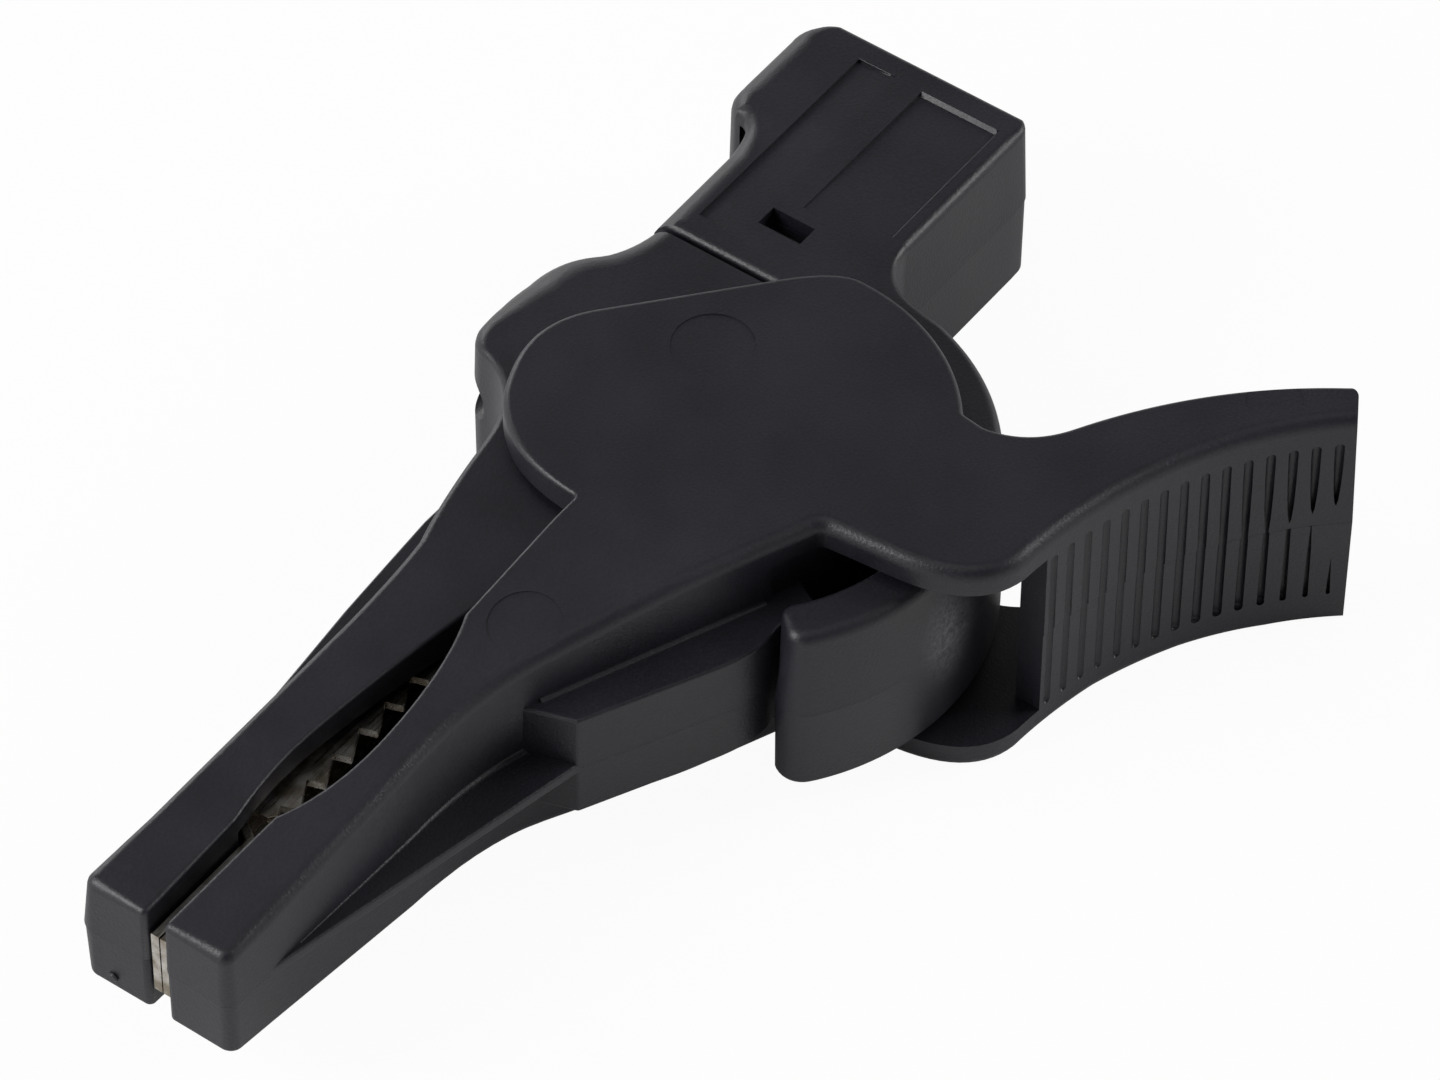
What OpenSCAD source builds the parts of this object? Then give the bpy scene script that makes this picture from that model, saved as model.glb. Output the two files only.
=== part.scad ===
// Fully insulated crocodile clip with a 4 mm safety socket in its rear handle.
// Millimetres, +Z up. The clip lies on its side: X runs from the jaw tips to the socket,
// -Y is the thumb side, and Z is the pivot axis. The origin is the pivot axis on the table.
// Every piece is symmetric about the middle plane, so each is drawn about z = 0 and lifted.

/* [Overall] */
// Height across the two lever cheeks, the thickest part of the clip
lever_height = 18; // [16:0.5:22]
// Thickness of each cheek plate of the lever
cheek_thickness = 2.3; // [1.8:0.1:2.8]
// Air between a cheek and the fixed mouldings under it
side_clearance = 0.25; // [0.2:0.05:0.4]

/* [Jaws] */
// Pivot axis to jaw tips
jaw_length = 49.8; // [47:0.1:56]
// Height of both jaw tips
tip_height = 8.8; // [8.2:0.1:10]
// Width of each plastic jaw at its tip
tip_width = 4.7; // [4:0.1:5.5]
// Closing line of the jaws, measured from the pivot axis
jaw_line = 5.75; // [5.5:0.05:6.2]
// Thickness of the plastic wall over and under the moving contact
jaw_wall = 2.1; // [1.6:0.1:2.3]
// Thickness of the lever wall that joins its two cheeks
flank_wall = 1.8; // [1.4:0.1:2.2]

/* [Contacts] */
// Sheet thickness of the two toothed contacts
contact_sheet = 0.6; // [0.4:0.05:0.7]
// Pivot axis to the front end of the toothed mouth
mouth_front = 38.5; // [37.5:0.1:40]
// Gap left between the two contacts at the tips
tip_gap = 0.1; // [0.05:0.05:0.3]
// Height of the moving contact channel, which lies inside the fixed one
moving_contact_height = 5.2; // [5:0.1:5.4]
// Depth of each contact channel below the closing line
channel_depth = 3.75; // [3.4:0.05:3.8]
// Distance between neighbouring teeth
tooth_pitch = 1.85; // [1.4:0.05:2]
// Height of one tooth
tooth_depth = 1.3; // [0.8:0.1:1.6]
// Number of teeth along the mouth
tooth_count = 9; // [6:1:9]

/* [Hub] */
// Radius of the round cheek about the pivot
cheek_radius = 14.3; // [13.6:0.1:15]
// Radius of the fixed plates that carry the pin
hub_radius = 8.3; // [7.4:0.1:8.4]
// Diameter of the pivot pin
pin_diameter = 3; // [2.5:0.1:3.4]
// Running clearance of the lever on the pin, per side
pin_clearance = 0.05; // [0.02:0.01:0.09]
// Depth of the blind pin seat in each cheek
pin_seat = 1.4; // [1:0.1:1.6]
// Wire of the torsion spring
wire_diameter = 1; // [0.8:0.05:1.05]

/* [Finger block and guard] */
// Height of the finger block and of its tail inside the guard
block_height = 8.3; // [7:0.1:8.6]
// Thickness of the thin fin that runs from the block to the jaw tip
fin_thickness = 0.8; // [0.6:0.1:1.2]
// Inner radius of the guard tongue about the pivot
guard_inner = 13.7; // [13.6:0.1:14]
// Thickness of the guard tongue
guard_thickness = 3.1; // [2.4:0.1:3.3]
// Direction of the guard root seen from the pivot, in degrees
guard_root = 348; // [345:1:350]
// Direction of the blunt free end of the guard seen from the pivot, in degrees
guard_end = 229; // [228.5:0.5:236]

/* [Thumb arm] */
// Pivot axis to the highest line of the thumb rest
arm_drop = 21.2; // [20.8:0.1:22.5]
// Radius of the front part of the hollow thumb rest
grip_radius = 36.8; // [34:0.2:40]
// Radius of the end part of the thumb rest
grip_end_radius = 27; // [24:0.2:32]
// Thickness of the grooved thumb wall
grip_wall = 1.9; // [1.5:0.1:2.2]
// Number of grip grooves
groove_count = 15; // [8:1:16]
// Distance between grip grooves
groove_pitch = 1.47; // [1.2:0.01:1.5]
// Width of one grip groove
groove_width = 0.56; // [0.3:0.02:0.8]
// Length of the grip grooves
groove_length = 13.8; // [8:0.1:14]

/* [Rear handle] */
// Front face of the rear handle, from the pivot axis
handle_front = 12.9; // [12.8:0.1:13.4]
// Length of the rear handle
handle_length = 21.4; // [20:0.1:26]
// Width of the rear handle
handle_width = 14.5; // [13.6:0.1:15]
// Rounding of the long edges of the rear handle
handle_round = 1.5; // [0.8:0.1:2]
// Distance of the handle axis from the pivot axis
handle_axis = 8.3; // [8.2:0.05:8.5]
// Wall of the handle shell around the collar
shell_wall = 1; // [0.8:0.05:1.1]
// Gap between the two fixed mouldings at the seam
seam_gap = 0.55; // [0.3:0.05:0.7]
// Reach of the finger hook beyond the handle side
hook_reach = 3.1; // [2:0.05:3.5]
// Depth of the bare panels on the handle faces
panel_depth = 0.25; // [0.1:0.05:0.35]

/* [Socket] */
// Bore of the contact sleeve, for a 4 mm plug
sleeve_bore = 4.02; // [4:0.01:4.1]
// Outer diameter of the contact sleeve
sleeve_diameter = 4.94; // [4.6:0.02:5.1]
// Outer diameter of the insulating post around the sleeve
post_diameter = 6; // [5.7:0.05:6.1]
// Bore that takes the shroud of the plug
shroud_bore = 8.2; // [8.1:0.05:8.4]
// Depth of the sleeve mouth below the rear face
sleeve_recess = 3.5; // [2.5:0.1:5]
// Fit of pressed pieces, per side
press_clearance = 0.01; // [0:0.01:0.03]

/* [Hidden] */
$fn = 96;
black = [0.16, 0.16, 0.18];
dark = [0.22, 0.22, 0.24];
nickel = [0.72, 0.69, 0.62];
steel = [0.62, 0.63, 0.65];
half = lever_height / 2;
cheek_inner = half - cheek_thickness;
body_height = 2 * (cheek_inner - side_clearance);
body_half = body_height / 2;
tip_half = tip_height / 2;
crease = 11.8;
body_slope_start = 8;
tip_in_moving = jaw_line - tip_gap / 2 - contact_sheet;
tip_in_fixed = jaw_line + tip_gap / 2 + contact_sheet;
floor_moving = jaw_line - channel_depth;
floor_fixed = jaw_line + channel_depth;
ear_clearance = 0.1;
fixed_contact_height = moving_contact_height + 2 * (contact_sheet + 2 * ear_clearance);
mouth_lip = mouth_front + 2.5;
mouth_back = mouth_front - tooth_count * tooth_pitch;
pin_radius = pin_diameter / 2;
ear_radius = pin_radius + 1.7;
guard_outer = guard_inner + guard_thickness;
guard_mid = guard_inner + guard_thickness / 2;
knuckle = [guard_mid * cos(guard_root), guard_mid * sin(guard_root)];
knuckle_radius = guard_thickness / 2;
knuckle_clearance = 0.05;
grip_centre = [-1.8, -arm_drop - grip_radius];
grip_break = 63.1;
end_centre = grip_centre + (grip_radius - grip_end_radius) * [cos(grip_break), sin(grip_break)];
groove_start = 81.2;
groove_change = (groove_start - grip_break) * PI / 180 * grip_radius;
guard_corner = 0.8;
cavity_half = block_height / 2 + side_clearance;
handle_rear = handle_front + handle_length;
handle_low = handle_axis - handle_width / 2;
handle_high = handle_axis + handle_width / 2;
seam = handle_front - seam_gap;
wall_rear = seam - 2;
collar_clearance = 0.15;
collar_width = handle_width - 2 * (shell_wall + collar_clearance);
collar_height = body_height - 2 * (shell_wall + collar_clearance);
collar_rear = handle_front + 6.9;
sleeve_mouth = handle_rear - sleeve_recess;
sleeve_floor = seam;
post_flange = 0.8;
flange_diameter = post_diameter + 1.8;
strap_sheet = 0.7;
strap_inner = floor_fixed - contact_sheet - strap_sheet;
tab_sheet = 0.8;
rivet_front = -13;
rivet_rear = 7.4;
tail_angle = 241;
tail_outer = guard_inner - 1;
tail_inner = hub_radius + 1.2;
coil_radius = pin_radius + wire_diameter / 2 + 0.35;
coil_rise = moving_contact_height / 2 - contact_sheet - wire_diameter / 2 - 0.05;
spring_post = [7.5 * cos(330), 7.5 * sin(330)];
spring_post_radius = 0.9;

// Points of an arc about c.
function arc(c, r, a, b, n) = [
  for (i = [0:n]) let (t = a + (b - a) * i / n) c + r * [cos(t), sin(t)]
];
// Points of a curve that leaves p towards q and arrives at s, without p itself.
function bend(p, q, s, n) = [
  for (i = [1:n]) let (t = i / n) (1 - t) * (1 - t) * p + 2 * t * (1 - t) * q + t * t * s
];
function at_angle(r, a) = [r * cos(a), r * sin(a)];
// Point of the thumb rest at a distance along it from the first groove.
function rest_point(s) = s < groove_change
  ? grip_centre + at_angle(grip_radius + 0.02, groove_start - s / grip_radius * 180 / PI)
  : end_centre
    + at_angle(grip_end_radius + 0.02, grip_break - (s - groove_change) / grip_end_radius * 180 / PI);

module lift() {
  translate([0, 0, half])
    children();
}

module slab(height) {
  linear_extrude(height = height, center = true)
    children();
}

// Solid between two planes that close in on each other towards the tips.
module wedge(start, root_half, end_half) {
  rotate([90, 0, 0])
    slab(120)
      polygon([
        [-jaw_length - 0.001, -end_half], [-start, -root_half], [50, -root_half],
        [50, root_half], [-start, root_half], [-jaw_length - 0.001, end_half]
      ]);
}

// Lever

// Outline of the lever seen along the pivot: jaw, flank, heel, arm, round cheek, notch, mouth.
heel = [-4, -9.7];
flank_start = [-22, -1.94];
arm_end_out = end_centre + at_angle(grip_end_radius, 41.4);
arm_end_in = end_centre + at_angle(grip_end_radius + 2.75, 40.5);
neck = [11.75, -17.6];
chord_angle = 49.2;
chord = 10.92;
chord_half = acos(chord / cheek_radius);
chord_low = at_angle(cheek_radius, chord_angle - chord_half);
chord_high = at_angle(cheek_radius, chord_angle + chord_half);
leave_angle = chord_angle - chord_half - 7;
join_angle = chord_angle + chord_half + 8;
notch = [-11.1, 3.75];
brow = [-9.15, 9.75];
lever_outline = concat(
  [[-jaw_length, tip_in_moving - tip_width], [-33, 0.05]],
  bend([-33, 0.05], [-26.7, 0.1], flank_start, 8),
  [heel, [-3.55, -14.5]],
  bend([-3.55, -14.5], [-3.1, -20.6], grip_centre + at_angle(grip_radius, 85.6), 10),
  arc(grip_centre, grip_radius, 84.5, grip_break, 15),
  arc(end_centre, grip_end_radius, grip_break - 1, 42, 12),
  [arm_end_out, arm_end_in],
  bend(arm_end_in, [20, -22.15], neck, 12),
  bend(neck, [8.9, -15.9], [8.5, -13], 8),
  arc([0, 0], cheek_radius, -52.5, leave_angle, 16),
  bend(at_angle(cheek_radius, leave_angle), chord_low, 0.8 * chord_low + 0.2 * chord_high, 5),
  bend(0.2 * chord_low + 0.8 * chord_high, chord_high, at_angle(cheek_radius, join_angle), 6),
  arc([0, 0], cheek_radius, join_angle + 1, 118, 6),
  bend(at_angle(cheek_radius, 118), [-8.2, 11.7], brow, 5),
  bend(brow, [-10.9, 7.3], [-11.1, 4.4], 5),
  [notch, [-22, 3.95]],
  bend([-22, 3.95], [-25.6, 2.5], [-31.5, 2.55], 8),
  bend([-31.5, 2.55], [-36.6, 2.6], [1 - mouth_lip, tip_in_moving - 0.8], 8),
  [[-jaw_length, tip_in_moving]]
);

// Space between the cheeks: jaw channel, hub and arm, up to the flank and thumb walls.
flank_line = heel - flank_start;
flank_unit = flank_line / norm(flank_line);
flank_in = flank_wall * [-flank_unit[1], flank_unit[0]];
wall_end = heel - 3.6 * flank_unit;
hollow_outline = concat(
  [[-mouth_lip, jaw_line + 3], [-mouth_lip, tip_in_moving - 0.6]],
  [[-mouth_front - 0.3, floor_moving], [-24.5, floor_moving]],
  [flank_start + flank_in, wall_end + flank_in, wall_end - flank_in, [-7, -24], [3, -24]],
  arc(grip_centre, grip_radius + grip_wall, 82.4, grip_break, 12),
  arc(end_centre, grip_end_radius + grip_wall, grip_break - 1, 50, 8),
  [[28, -24], [22, 0], [18, 18], [-12, 18], [-13, jaw_line + 3]]
);

// Finger block with the ramp that lifts the guard, and the tail that the spring pushes.
block_front = [-22.2, -4.6];
block_outline = concat(
  [[-23.5, -1.5], block_front, [-14, -9.05]],
  bend([-14, -9.05], [-11.2, -10.45], [-9.6, -10.15], 10),
  bend([-9.6, -10.15], [-8.4, -9.95], at_angle(tail_outer, tail_angle - 5), 6),
  [at_angle(tail_outer, tail_angle), at_angle(tail_inner, tail_angle), wall_end + 0.9 * flank_in],
  [flank_start + 0.5 * flank_in]
);

// End of the flank wall beside the middle, where the spring leg passes.
wall_tail = [
  wall_end - 0.5 * flank_unit + 0.1 * flank_in, heel - 0.9 * flank_unit + 0.1 * flank_in,
  heel - 0.9 * flank_unit + 0.9 * flank_in, wall_end - 0.5 * flank_unit + 0.9 * flank_in
];
wall_tail_low = 2.4;

module lever() {
  color(black)
    lift()
      difference() {
        union() {
          difference() {
            intersection() {
              slab(lever_height)
                polygon(lever_outline);
              wedge(crease, half, tip_half);
            }
            intersection() {
              slab(lever_height)
                polygon(hollow_outline);
              wedge(crease, cheek_inner, tip_half - jaw_wall);
            }
          }
          slab(block_height)
            polygon(block_outline);
          slab(fin_thickness)
            polygon([[-46.5, 0.75], block_front, [-21, -1.5], [-30, 0.8], [-45, 1.2]]);
          for (side = [-1, 1])
            translate([0, 0, side * (wall_tail_low + cheek_inner + 0.2) / 2])
              slab(cheek_inner + 0.2 - wall_tail_low)
                polygon(wall_tail);
        }
        for (side = [-1, 1])
          translate([0, 0, side * (cheek_inner + pin_seat / 2 - 0.05)])
            cylinder(r = pin_radius + pin_clearance, h = pin_seat + 0.1, center = true);
        for (i = [0:groove_count - 1])
          translate(rest_point(i * groove_pitch))
            cylinder(d = groove_width, h = groove_length, center = true, $fn = 24);
      }
}

// Fixed front moulding

shoulder_high = 19.1;
seam_high = handle_high - 0.2;
body_outline = concat(
  [[-jaw_length, tip_in_fixed], [-mouth_lip, tip_in_fixed]],
  bend([-mouth_lip, tip_in_fixed], [4 - mouth_lip, 7.3], [-33.5, 6.95], 8),
  bend([-33.5, 6.95], [-27, 6.3], [-20, 4.8], 8),
  [[-12.2, 4.4]],
  arc([0, 0], hub_radius, 172, 300, 32),
  [[seam - 0.8, handle_low], [seam, handle_low + 0.8], [seam, seam_high]],
  bend([seam, seam_high], [10, 15.65], [8.6, 16.91], 6),
  bend([8.6, 16.91], [6.9, 18.45], [4.2, 18.85], 6),
  bend([4.2, 18.85], [1.2, shoulder_high + 0.15], [-0.9, shoulder_high], 4),
  bend([-0.9, shoulder_high], [-2.5, shoulder_high - 0.05], [-2.8, 17.4], 5),
  bend([-2.8, 17.4], [-3.7, 13], [-9.3, 12.5], 10),
  bend([-9.3, 12.5], [-14.5, 11.8], [-17.5, 10.9], 6),
  bend([-17.5, 10.9], [-20, 10.6], [-25, 10.6], 4),
  [[-jaw_length, tip_in_fixed + tip_width]]
);

// Thin rib on the far side, from the jaw tip to the shoulder.
far_rib = [
  [0.2 - jaw_length, 10.6], [-24, 10], [-8, 12], [-3, 15], [-3.6, 15.6], [-8.5, 15.1], [-12.2, 14.8],
  [-16.7, 14.5], [-21, 14.2], [-25.5, 13.75], [-31.7, 13.15], [0.2 - jaw_length, 11.55]
];

// Room in the front moulding for ears, spring, strap and sleeve tail.
hub_room = concat(
  arc([0, 0], hub_radius + 0.2, 175, 325, 32),
  [[wall_rear, handle_axis - 5], [wall_rear, floor_fixed + 0.9]],
  [[-9, floor_fixed + 0.9], [-12, floor_fixed - 0.4]],
  [[-12, 3], [-9, 1.5]]
);

module front_body() {
  color(black)
    lift()
      difference() {
        union() {
          difference() {
            intersection() {
              slab(body_height)
                polygon(body_outline);
              wedge(body_slope_start, body_half, tip_half);
            }
            slab(2 * cavity_half)
              polygon(hub_room);
            slab(fixed_contact_height + 2 * ear_clearance)
              polygon([
                [-mouth_lip, tip_in_fixed + 0.6], [-mouth_lip, 2], [-8, 2], [-8, floor_fixed],
                [-mouth_front - 0.3, floor_fixed]
              ]);
            translate([rivet_front, floor_fixed + 0.3, 0])
              rotate([90, 0, 0])
                cylinder(r = 1.5, h = 0.8, center = true, $fn = 48);
          }
          translate([(seam + collar_rear) / 2 - 0.5, handle_axis, 0])
            cube([collar_rear - seam + 1, collar_width, collar_height], center = true);
          for (side = [-1, 1])
            translate([handle_front + 3.875, latch_y, side * (collar_height / 2 + 0.15)])
              cube([0.45, 2.9, 1], center = true);
          slab(fin_thickness)
            polygon(far_rib);
          translate([spring_post[0], spring_post[1], 0])
            cylinder(r = spring_post_radius, h = 2 * cavity_half + 1, center = true, $fn = 48);
        }
        translate([seam, handle_axis, 0])
          rotate([0, 90, 0])
            cylinder(d = shroud_bore, h = 20);
        translate([wall_rear - 0.5, handle_axis, 0])
          rotate([0, 90, 0])
            cylinder(d = post_diameter + 2 * press_clearance, h = 4);
        translate([wall_rear - post_flange - 0.2, handle_axis, 0])
          rotate([0, 90, 0])
            cylinder(d = flange_diameter + 2 * press_clearance, h = post_flange + 0.2);
        for (side = [-1, 1])
          translate([handle_front + 4.65, latch_y, side * (collar_height / 2 - 0.2)])
            cube([1, 3.1, 1], center = true);
        cylinder(r = pin_radius + press_clearance, h = lever_height, center = true);
        translate([-6, shoulder_high - 0.3, 0])
          rotate([0, 90, 0])
            cylinder(d = 3.8, h = 7.5, $fn = 48);
      }
}

// Rear handle shell

latch_y = 8.3;
// Web that runs from the handle side to the root of the guard in one hollow curve.
web_end = [handle_front + 7.6, handle_low];
web_root = knuckle + at_angle(knuckle_radius + 0.1, 0);
web_outline = concat(
  [[handle_front, handle_low + 2], [handle_front, knuckle[1] + 0.6]],
  [knuckle + at_angle(knuckle_radius + knuckle_clearance, 172), web_root],
  bend(web_root, [knuckle[0] + 2, handle_low], web_end, 10),
  [web_end + [0, 2]]
);
hook_front = handle_front + 10.7;
hook_high = handle_high + hook_reach;
hook_root = [hook_front - 2.2, handle_high];
hook_throat = [hook_front - 0.05, handle_high + 0.95];
hook_tip = [hook_front, handle_high + 1.6];
hook_outline = concat(
  [[hook_front - 2.2, handle_high - 2], hook_root],
  bend(hook_root, [hook_front - 0.5, handle_high], hook_throat, 6),
  [hook_tip],
  bend(hook_tip, [hook_front + 0.9, hook_high], [hook_front + 2.7, hook_high], 6),
  [[handle_rear - 2, hook_high]],
  bend([handle_rear - 2, hook_high], [handle_rear, hook_high], [handle_rear, handle_high + 0.6], 6),
  [[handle_rear, handle_high - 2]]
);

module rounded_bar(length, width, height, round) {
  rotate([90, 0, 90])
    linear_extrude(height = length)
      union() {
        square([width - 2 * round, height], center = true);
        square([width, height - 2 * round], center = true);
        for (x = [-1, 1])
          for (y = [-1, 1])
            translate([x * (width / 2 - round), y * (height / 2 - round)])
              circle(r = round, $fn = 48);
      }
}

module rear_handle() {
  color(black)
    lift()
      difference() {
        union() {
          translate([handle_front, handle_axis, 0])
            rounded_bar(handle_length, handle_width, body_height, handle_round);
          slab(body_height)
            polygon(web_outline);
          slab(body_height - 1)
            polygon(hook_outline);
        }
        translate([handle_front + 3.5, handle_axis, 0])
          cube([7.4, handle_width - 2 * shell_wall, body_height - 2 * shell_wall], center = true);
        translate([handle_front, handle_axis, 0])
          rotate([0, 90, 0])
            cylinder(d = shroud_bore, h = handle_length + 1);
        translate([handle_front + 4.4, latch_y, 0])
          cube([1.65, 3.25, lever_height], center = true);
        for (side = [-1, 1]) {
          translate([handle_front + 12.9, latch_y - 2.9, side * body_half])
            cube([13.1, 6, 2 * panel_depth], center = true);
          translate([handle_front + 10.7, latch_y + 3.55, side * body_half])
            cube([17.6, 3.1, 2 * panel_depth], center = true);
        }
        translate([hook_front + 1.5, handle_high + 0.9, 0])
          cube([4.4, 1.2, body_height - 2.6], center = true);
        translate([knuckle[0], knuckle[1], 0])
          cylinder(r = knuckle_radius + knuckle_clearance, h = lever_height, center = true);
      }
}

// Guard tongue

// Sector that cuts the ring of the guard, with the two rounded corners of its blunt end.
end_in = guard_end + asin(guard_corner / (guard_inner + guard_corner));
end_out = guard_end + asin(guard_corner / (guard_outer - guard_corner));
guard_sector = concat(
  [at_angle(guard_inner - 2, end_in)],
  arc(at_angle(guard_inner + guard_corner, end_in), guard_corner, end_in - 180, guard_end - 90, 6),
  arc(at_angle(guard_outer - guard_corner, end_out), guard_corner, guard_end - 90, end_out, 6),
  [at_angle(guard_outer + 2, end_out)],
  arc([0, 0], 40, end_out + 5, guard_root, 12),
  arc([0, 0], 6, guard_root, end_in + 5, 12)
);

module guard_tongue() {
  color(black)
    lift()
      union() {
        intersection() {
          difference() {
            cylinder(r = guard_outer, h = body_height, center = true, $fn = 180);
            cylinder(r = guard_inner, h = lever_height, center = true, $fn = 180);
          }
          slab(lever_height)
            polygon(guard_sector);
        }
        translate([knuckle[0], knuckle[1], 0])
          cylinder(r = knuckle_radius, h = body_height, center = true);
      }
}

// Toothed contacts

// Toothed edge from the back of the mouth to its front, pointing to larger y.
function teeth(root) = [
  for (i = [0:2 * tooth_count])
    [-mouth_back - i * tooth_pitch / 2, root + (i % 2) * tooth_depth]
];

// Flange with teeth and an ear about the pin. The channel floor is at y = deep.
module toothed_flange(deep, root, ear_low, ear_high) {
  polygon(concat(
    [[-mouth_front, deep], [-mouth_back - 1, deep], [-2, ear_low], [-2, ear_high]],
    [[-mouth_back, root]],
    teeth(root)
  ));
  circle(r = ear_radius);
}

// One contact, drawn as if it lay below the closing line at y = 0.
module contact(height, rear) {
  face = -tip_gap / 2;
  slab(moving_contact_height)
    polygon([
      [-jaw_length + 0.2, face - contact_sheet], [0.4 - mouth_lip, face - contact_sheet],
      [-mouth_front, -channel_depth], [-rear, -channel_depth], [-rear, -channel_depth + contact_sheet],
      [-mouth_front + 0.3, -channel_depth + contact_sheet], [0.7 - mouth_lip, face], [-jaw_length + 0.2, face]
    ]);
  slab(height)
    polygon([
      [-mouth_front, -channel_depth], [-rear, -channel_depth],
      [-rear, -channel_depth + contact_sheet], [-mouth_front, -channel_depth + contact_sheet]
    ]);
}

module flange_pair(height) {
  for (side = [-1, 1])
    translate([0, 0, side * (height - contact_sheet) / 2])
      linear_extrude(height = contact_sheet, center = true)
        children();
}

module moving_contact() {
  color(nickel)
    lift()
      difference() {
        union() {
          translate([0, jaw_line, 0])
            contact(moving_contact_height, 24.6);
          flange_pair(moving_contact_height)
            toothed_flange(floor_moving, jaw_line - tip_gap / 2 - tooth_depth, -2.4, 2.4);
        }
        cylinder(r = pin_radius + pin_clearance, h = lever_height, center = true);
      }
}

module fixed_contact() {
  color(nickel)
    lift()
      difference() {
        union() {
          translate([0, jaw_line, 0])
            mirror([0, 1, 0])
              contact(fixed_contact_height, 10.6);
          flange_pair(fixed_contact_height)
            translate([0, 2 * jaw_line, 0])
              mirror([0, 1, 0])
                toothed_flange_far(floor_moving, jaw_line - tip_gap / 2 - tooth_depth);
          flange_pair(fixed_contact_height)
            circle(r = ear_radius);
        }
        cylinder(r = pin_radius + press_clearance, h = lever_height, center = true);
        translate([rivet_front, floor_fixed, 0])
          rotate([90, 0, 0])
            cylinder(r = 0.8 + press_clearance, h = 6, center = true, $fn = 48);
      }
}

// Flange of the fixed contact: its ear reaches across to the pin.
module toothed_flange_far(deep, root) {
  polygon(concat(
    [[-mouth_front, deep], [-10.6, deep], [0.5, 2 * jaw_line - 2.4], [-2, 2 * jaw_line + 1.8]],
    [[-mouth_back, root]],
    teeth(root)
  ));
}

// Pin and spring

module pivot_pin() {
  length = 2 * (cheek_inner + pin_seat - 0.1);
  color(steel)
    lift()
      rotate_extrude()
        polygon([
          [0, -length / 2], [pin_radius - 0.3, -length / 2], [pin_radius, -length / 2 + 0.3],
          [pin_radius, length / 2 - 0.3], [pin_radius - 0.3, length / 2], [0, length / 2]
        ]);
}

// Centre line of the spring wire: leg to the tail, coil, leg to the post.
leg_reach = tail_outer - 1.2;
leg_angle = tail_angle + asin((wire_diameter / 2 + 0.05) / leg_reach) + 0.3;
post_angle = 330 - asin((spring_post_radius + wire_diameter / 2 + 0.05) / 7.5) - 0.8;
coil_in = leg_angle + acos(coil_radius / leg_reach);
coil_out = post_angle - acos(coil_radius / 8.2) + 1080;
coil_steps = 96;
spring_path = concat(
  [[leg_reach * cos(leg_angle), leg_reach * sin(leg_angle), -coil_rise]],
  [
    for (i = [0:coil_steps])
      let (a = coil_in + (coil_out - coil_in) * i / coil_steps)
        [coil_radius * cos(a), coil_radius * sin(a), -coil_rise + 2 * coil_rise * i / coil_steps]
  ],
  [[8.2 * cos(post_angle), 8.2 * sin(post_angle), coil_rise]]
);
wire_sides = 12;

// Ring of points about one point of the wire, in the plane across the wire.
function wire_ring(i) = let (
  last = len(spring_path) - 1,
  before = spring_path[max(i - 1, 0)],
  after = spring_path[min(i + 1, last)],
  along = (after - before) / norm(after - before),
  side = cross([0, 0, 1], along) / norm(cross([0, 0, 1], along)),
  up = cross(along, side)
) [
  for (k = [0:wire_sides - 1])
    spring_path[i] + wire_diameter / 2 * (cos(360 * k / wire_sides) * side + sin(360 * k / wire_sides) * up)
];

module torsion_spring() {
  count = len(spring_path);
  points = [for (i = [0:count - 1]) each wire_ring(i)];
  walls = [
    for (i = [0:count - 2])
      for (k = [0:wire_sides - 1])
        let (n = (k + 1) % wire_sides)
          [i * wire_sides + n, i * wire_sides + k, (i + 1) * wire_sides + k, (i + 1) * wire_sides + n]
  ];
  start = [for (k = [0:wire_sides - 1]) k];
  finish = [for (k = [wire_sides - 1:-1:0]) (count - 1) * wire_sides + k];
  color(steel)
    lift()
      polyhedron(points = points, faces = concat([start], walls, [finish]), convexity = 8);
}

// Socket and its connection to the fixed contact

module socket_post() {
  color(dark)
    lift()
      translate([0, handle_axis, 0])
        rotate([0, 90, 0])
          difference() {
            union() {
              translate([0, 0, wall_rear - post_flange])
                cylinder(d = flange_diameter, h = post_flange);
              translate([0, 0, wall_rear - post_flange])
                cylinder(d = post_diameter, h = sleeve_mouth + 0.4 - wall_rear + post_flange);
            }
            translate([0, 0, wall_rear - post_flange - 1])
              cylinder(d = sleeve_diameter + 2 * press_clearance, h = handle_rear);
          }
}

module socket_sleeve() {
  tail_front = rivet_rear - 1.7;
  tail_rear = wall_rear - post_flange;
  color(nickel)
    lift()
      union() {
        translate([0, handle_axis, 0])
          rotate([0, 90, 0])
            difference() {
              translate([0, 0, tail_rear])
                cylinder(d = sleeve_diameter, h = sleeve_mouth - tail_rear);
              translate([0, 0, sleeve_floor])
                cylinder(d = sleeve_bore, h = handle_rear);
            }
        difference() {
          translate([(tail_front + tail_rear + 1) / 2, strap_inner - tab_sheet / 2, 0])
            cube([tail_rear + 1 - tail_front, tab_sheet, 3], center = true);
          translate([rivet_rear, strap_inner, 0])
            rotate([90, 0, 0])
              cylinder(r = 0.8 + press_clearance, h = 6, center = true, $fn = 48);
        }
      }
}

module link_strap() {
  front = rivet_front - 2.4;
  rear = wall_rear - post_flange - 0.2;
  color(nickel)
    lift()
      difference() {
        translate([(front + rear) / 2, strap_inner + strap_sheet / 2, 0])
          cube([rear - front, strap_sheet, moving_contact_height - 2 * contact_sheet - 0.4], center = true);
        for (x = [rivet_front, rivet_rear])
          translate([x, strap_inner, 0])
            rotate([90, 0, 0])
              cylinder(r = 0.8 + press_clearance, h = 6, center = true, $fn = 48);
      }
}

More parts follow.
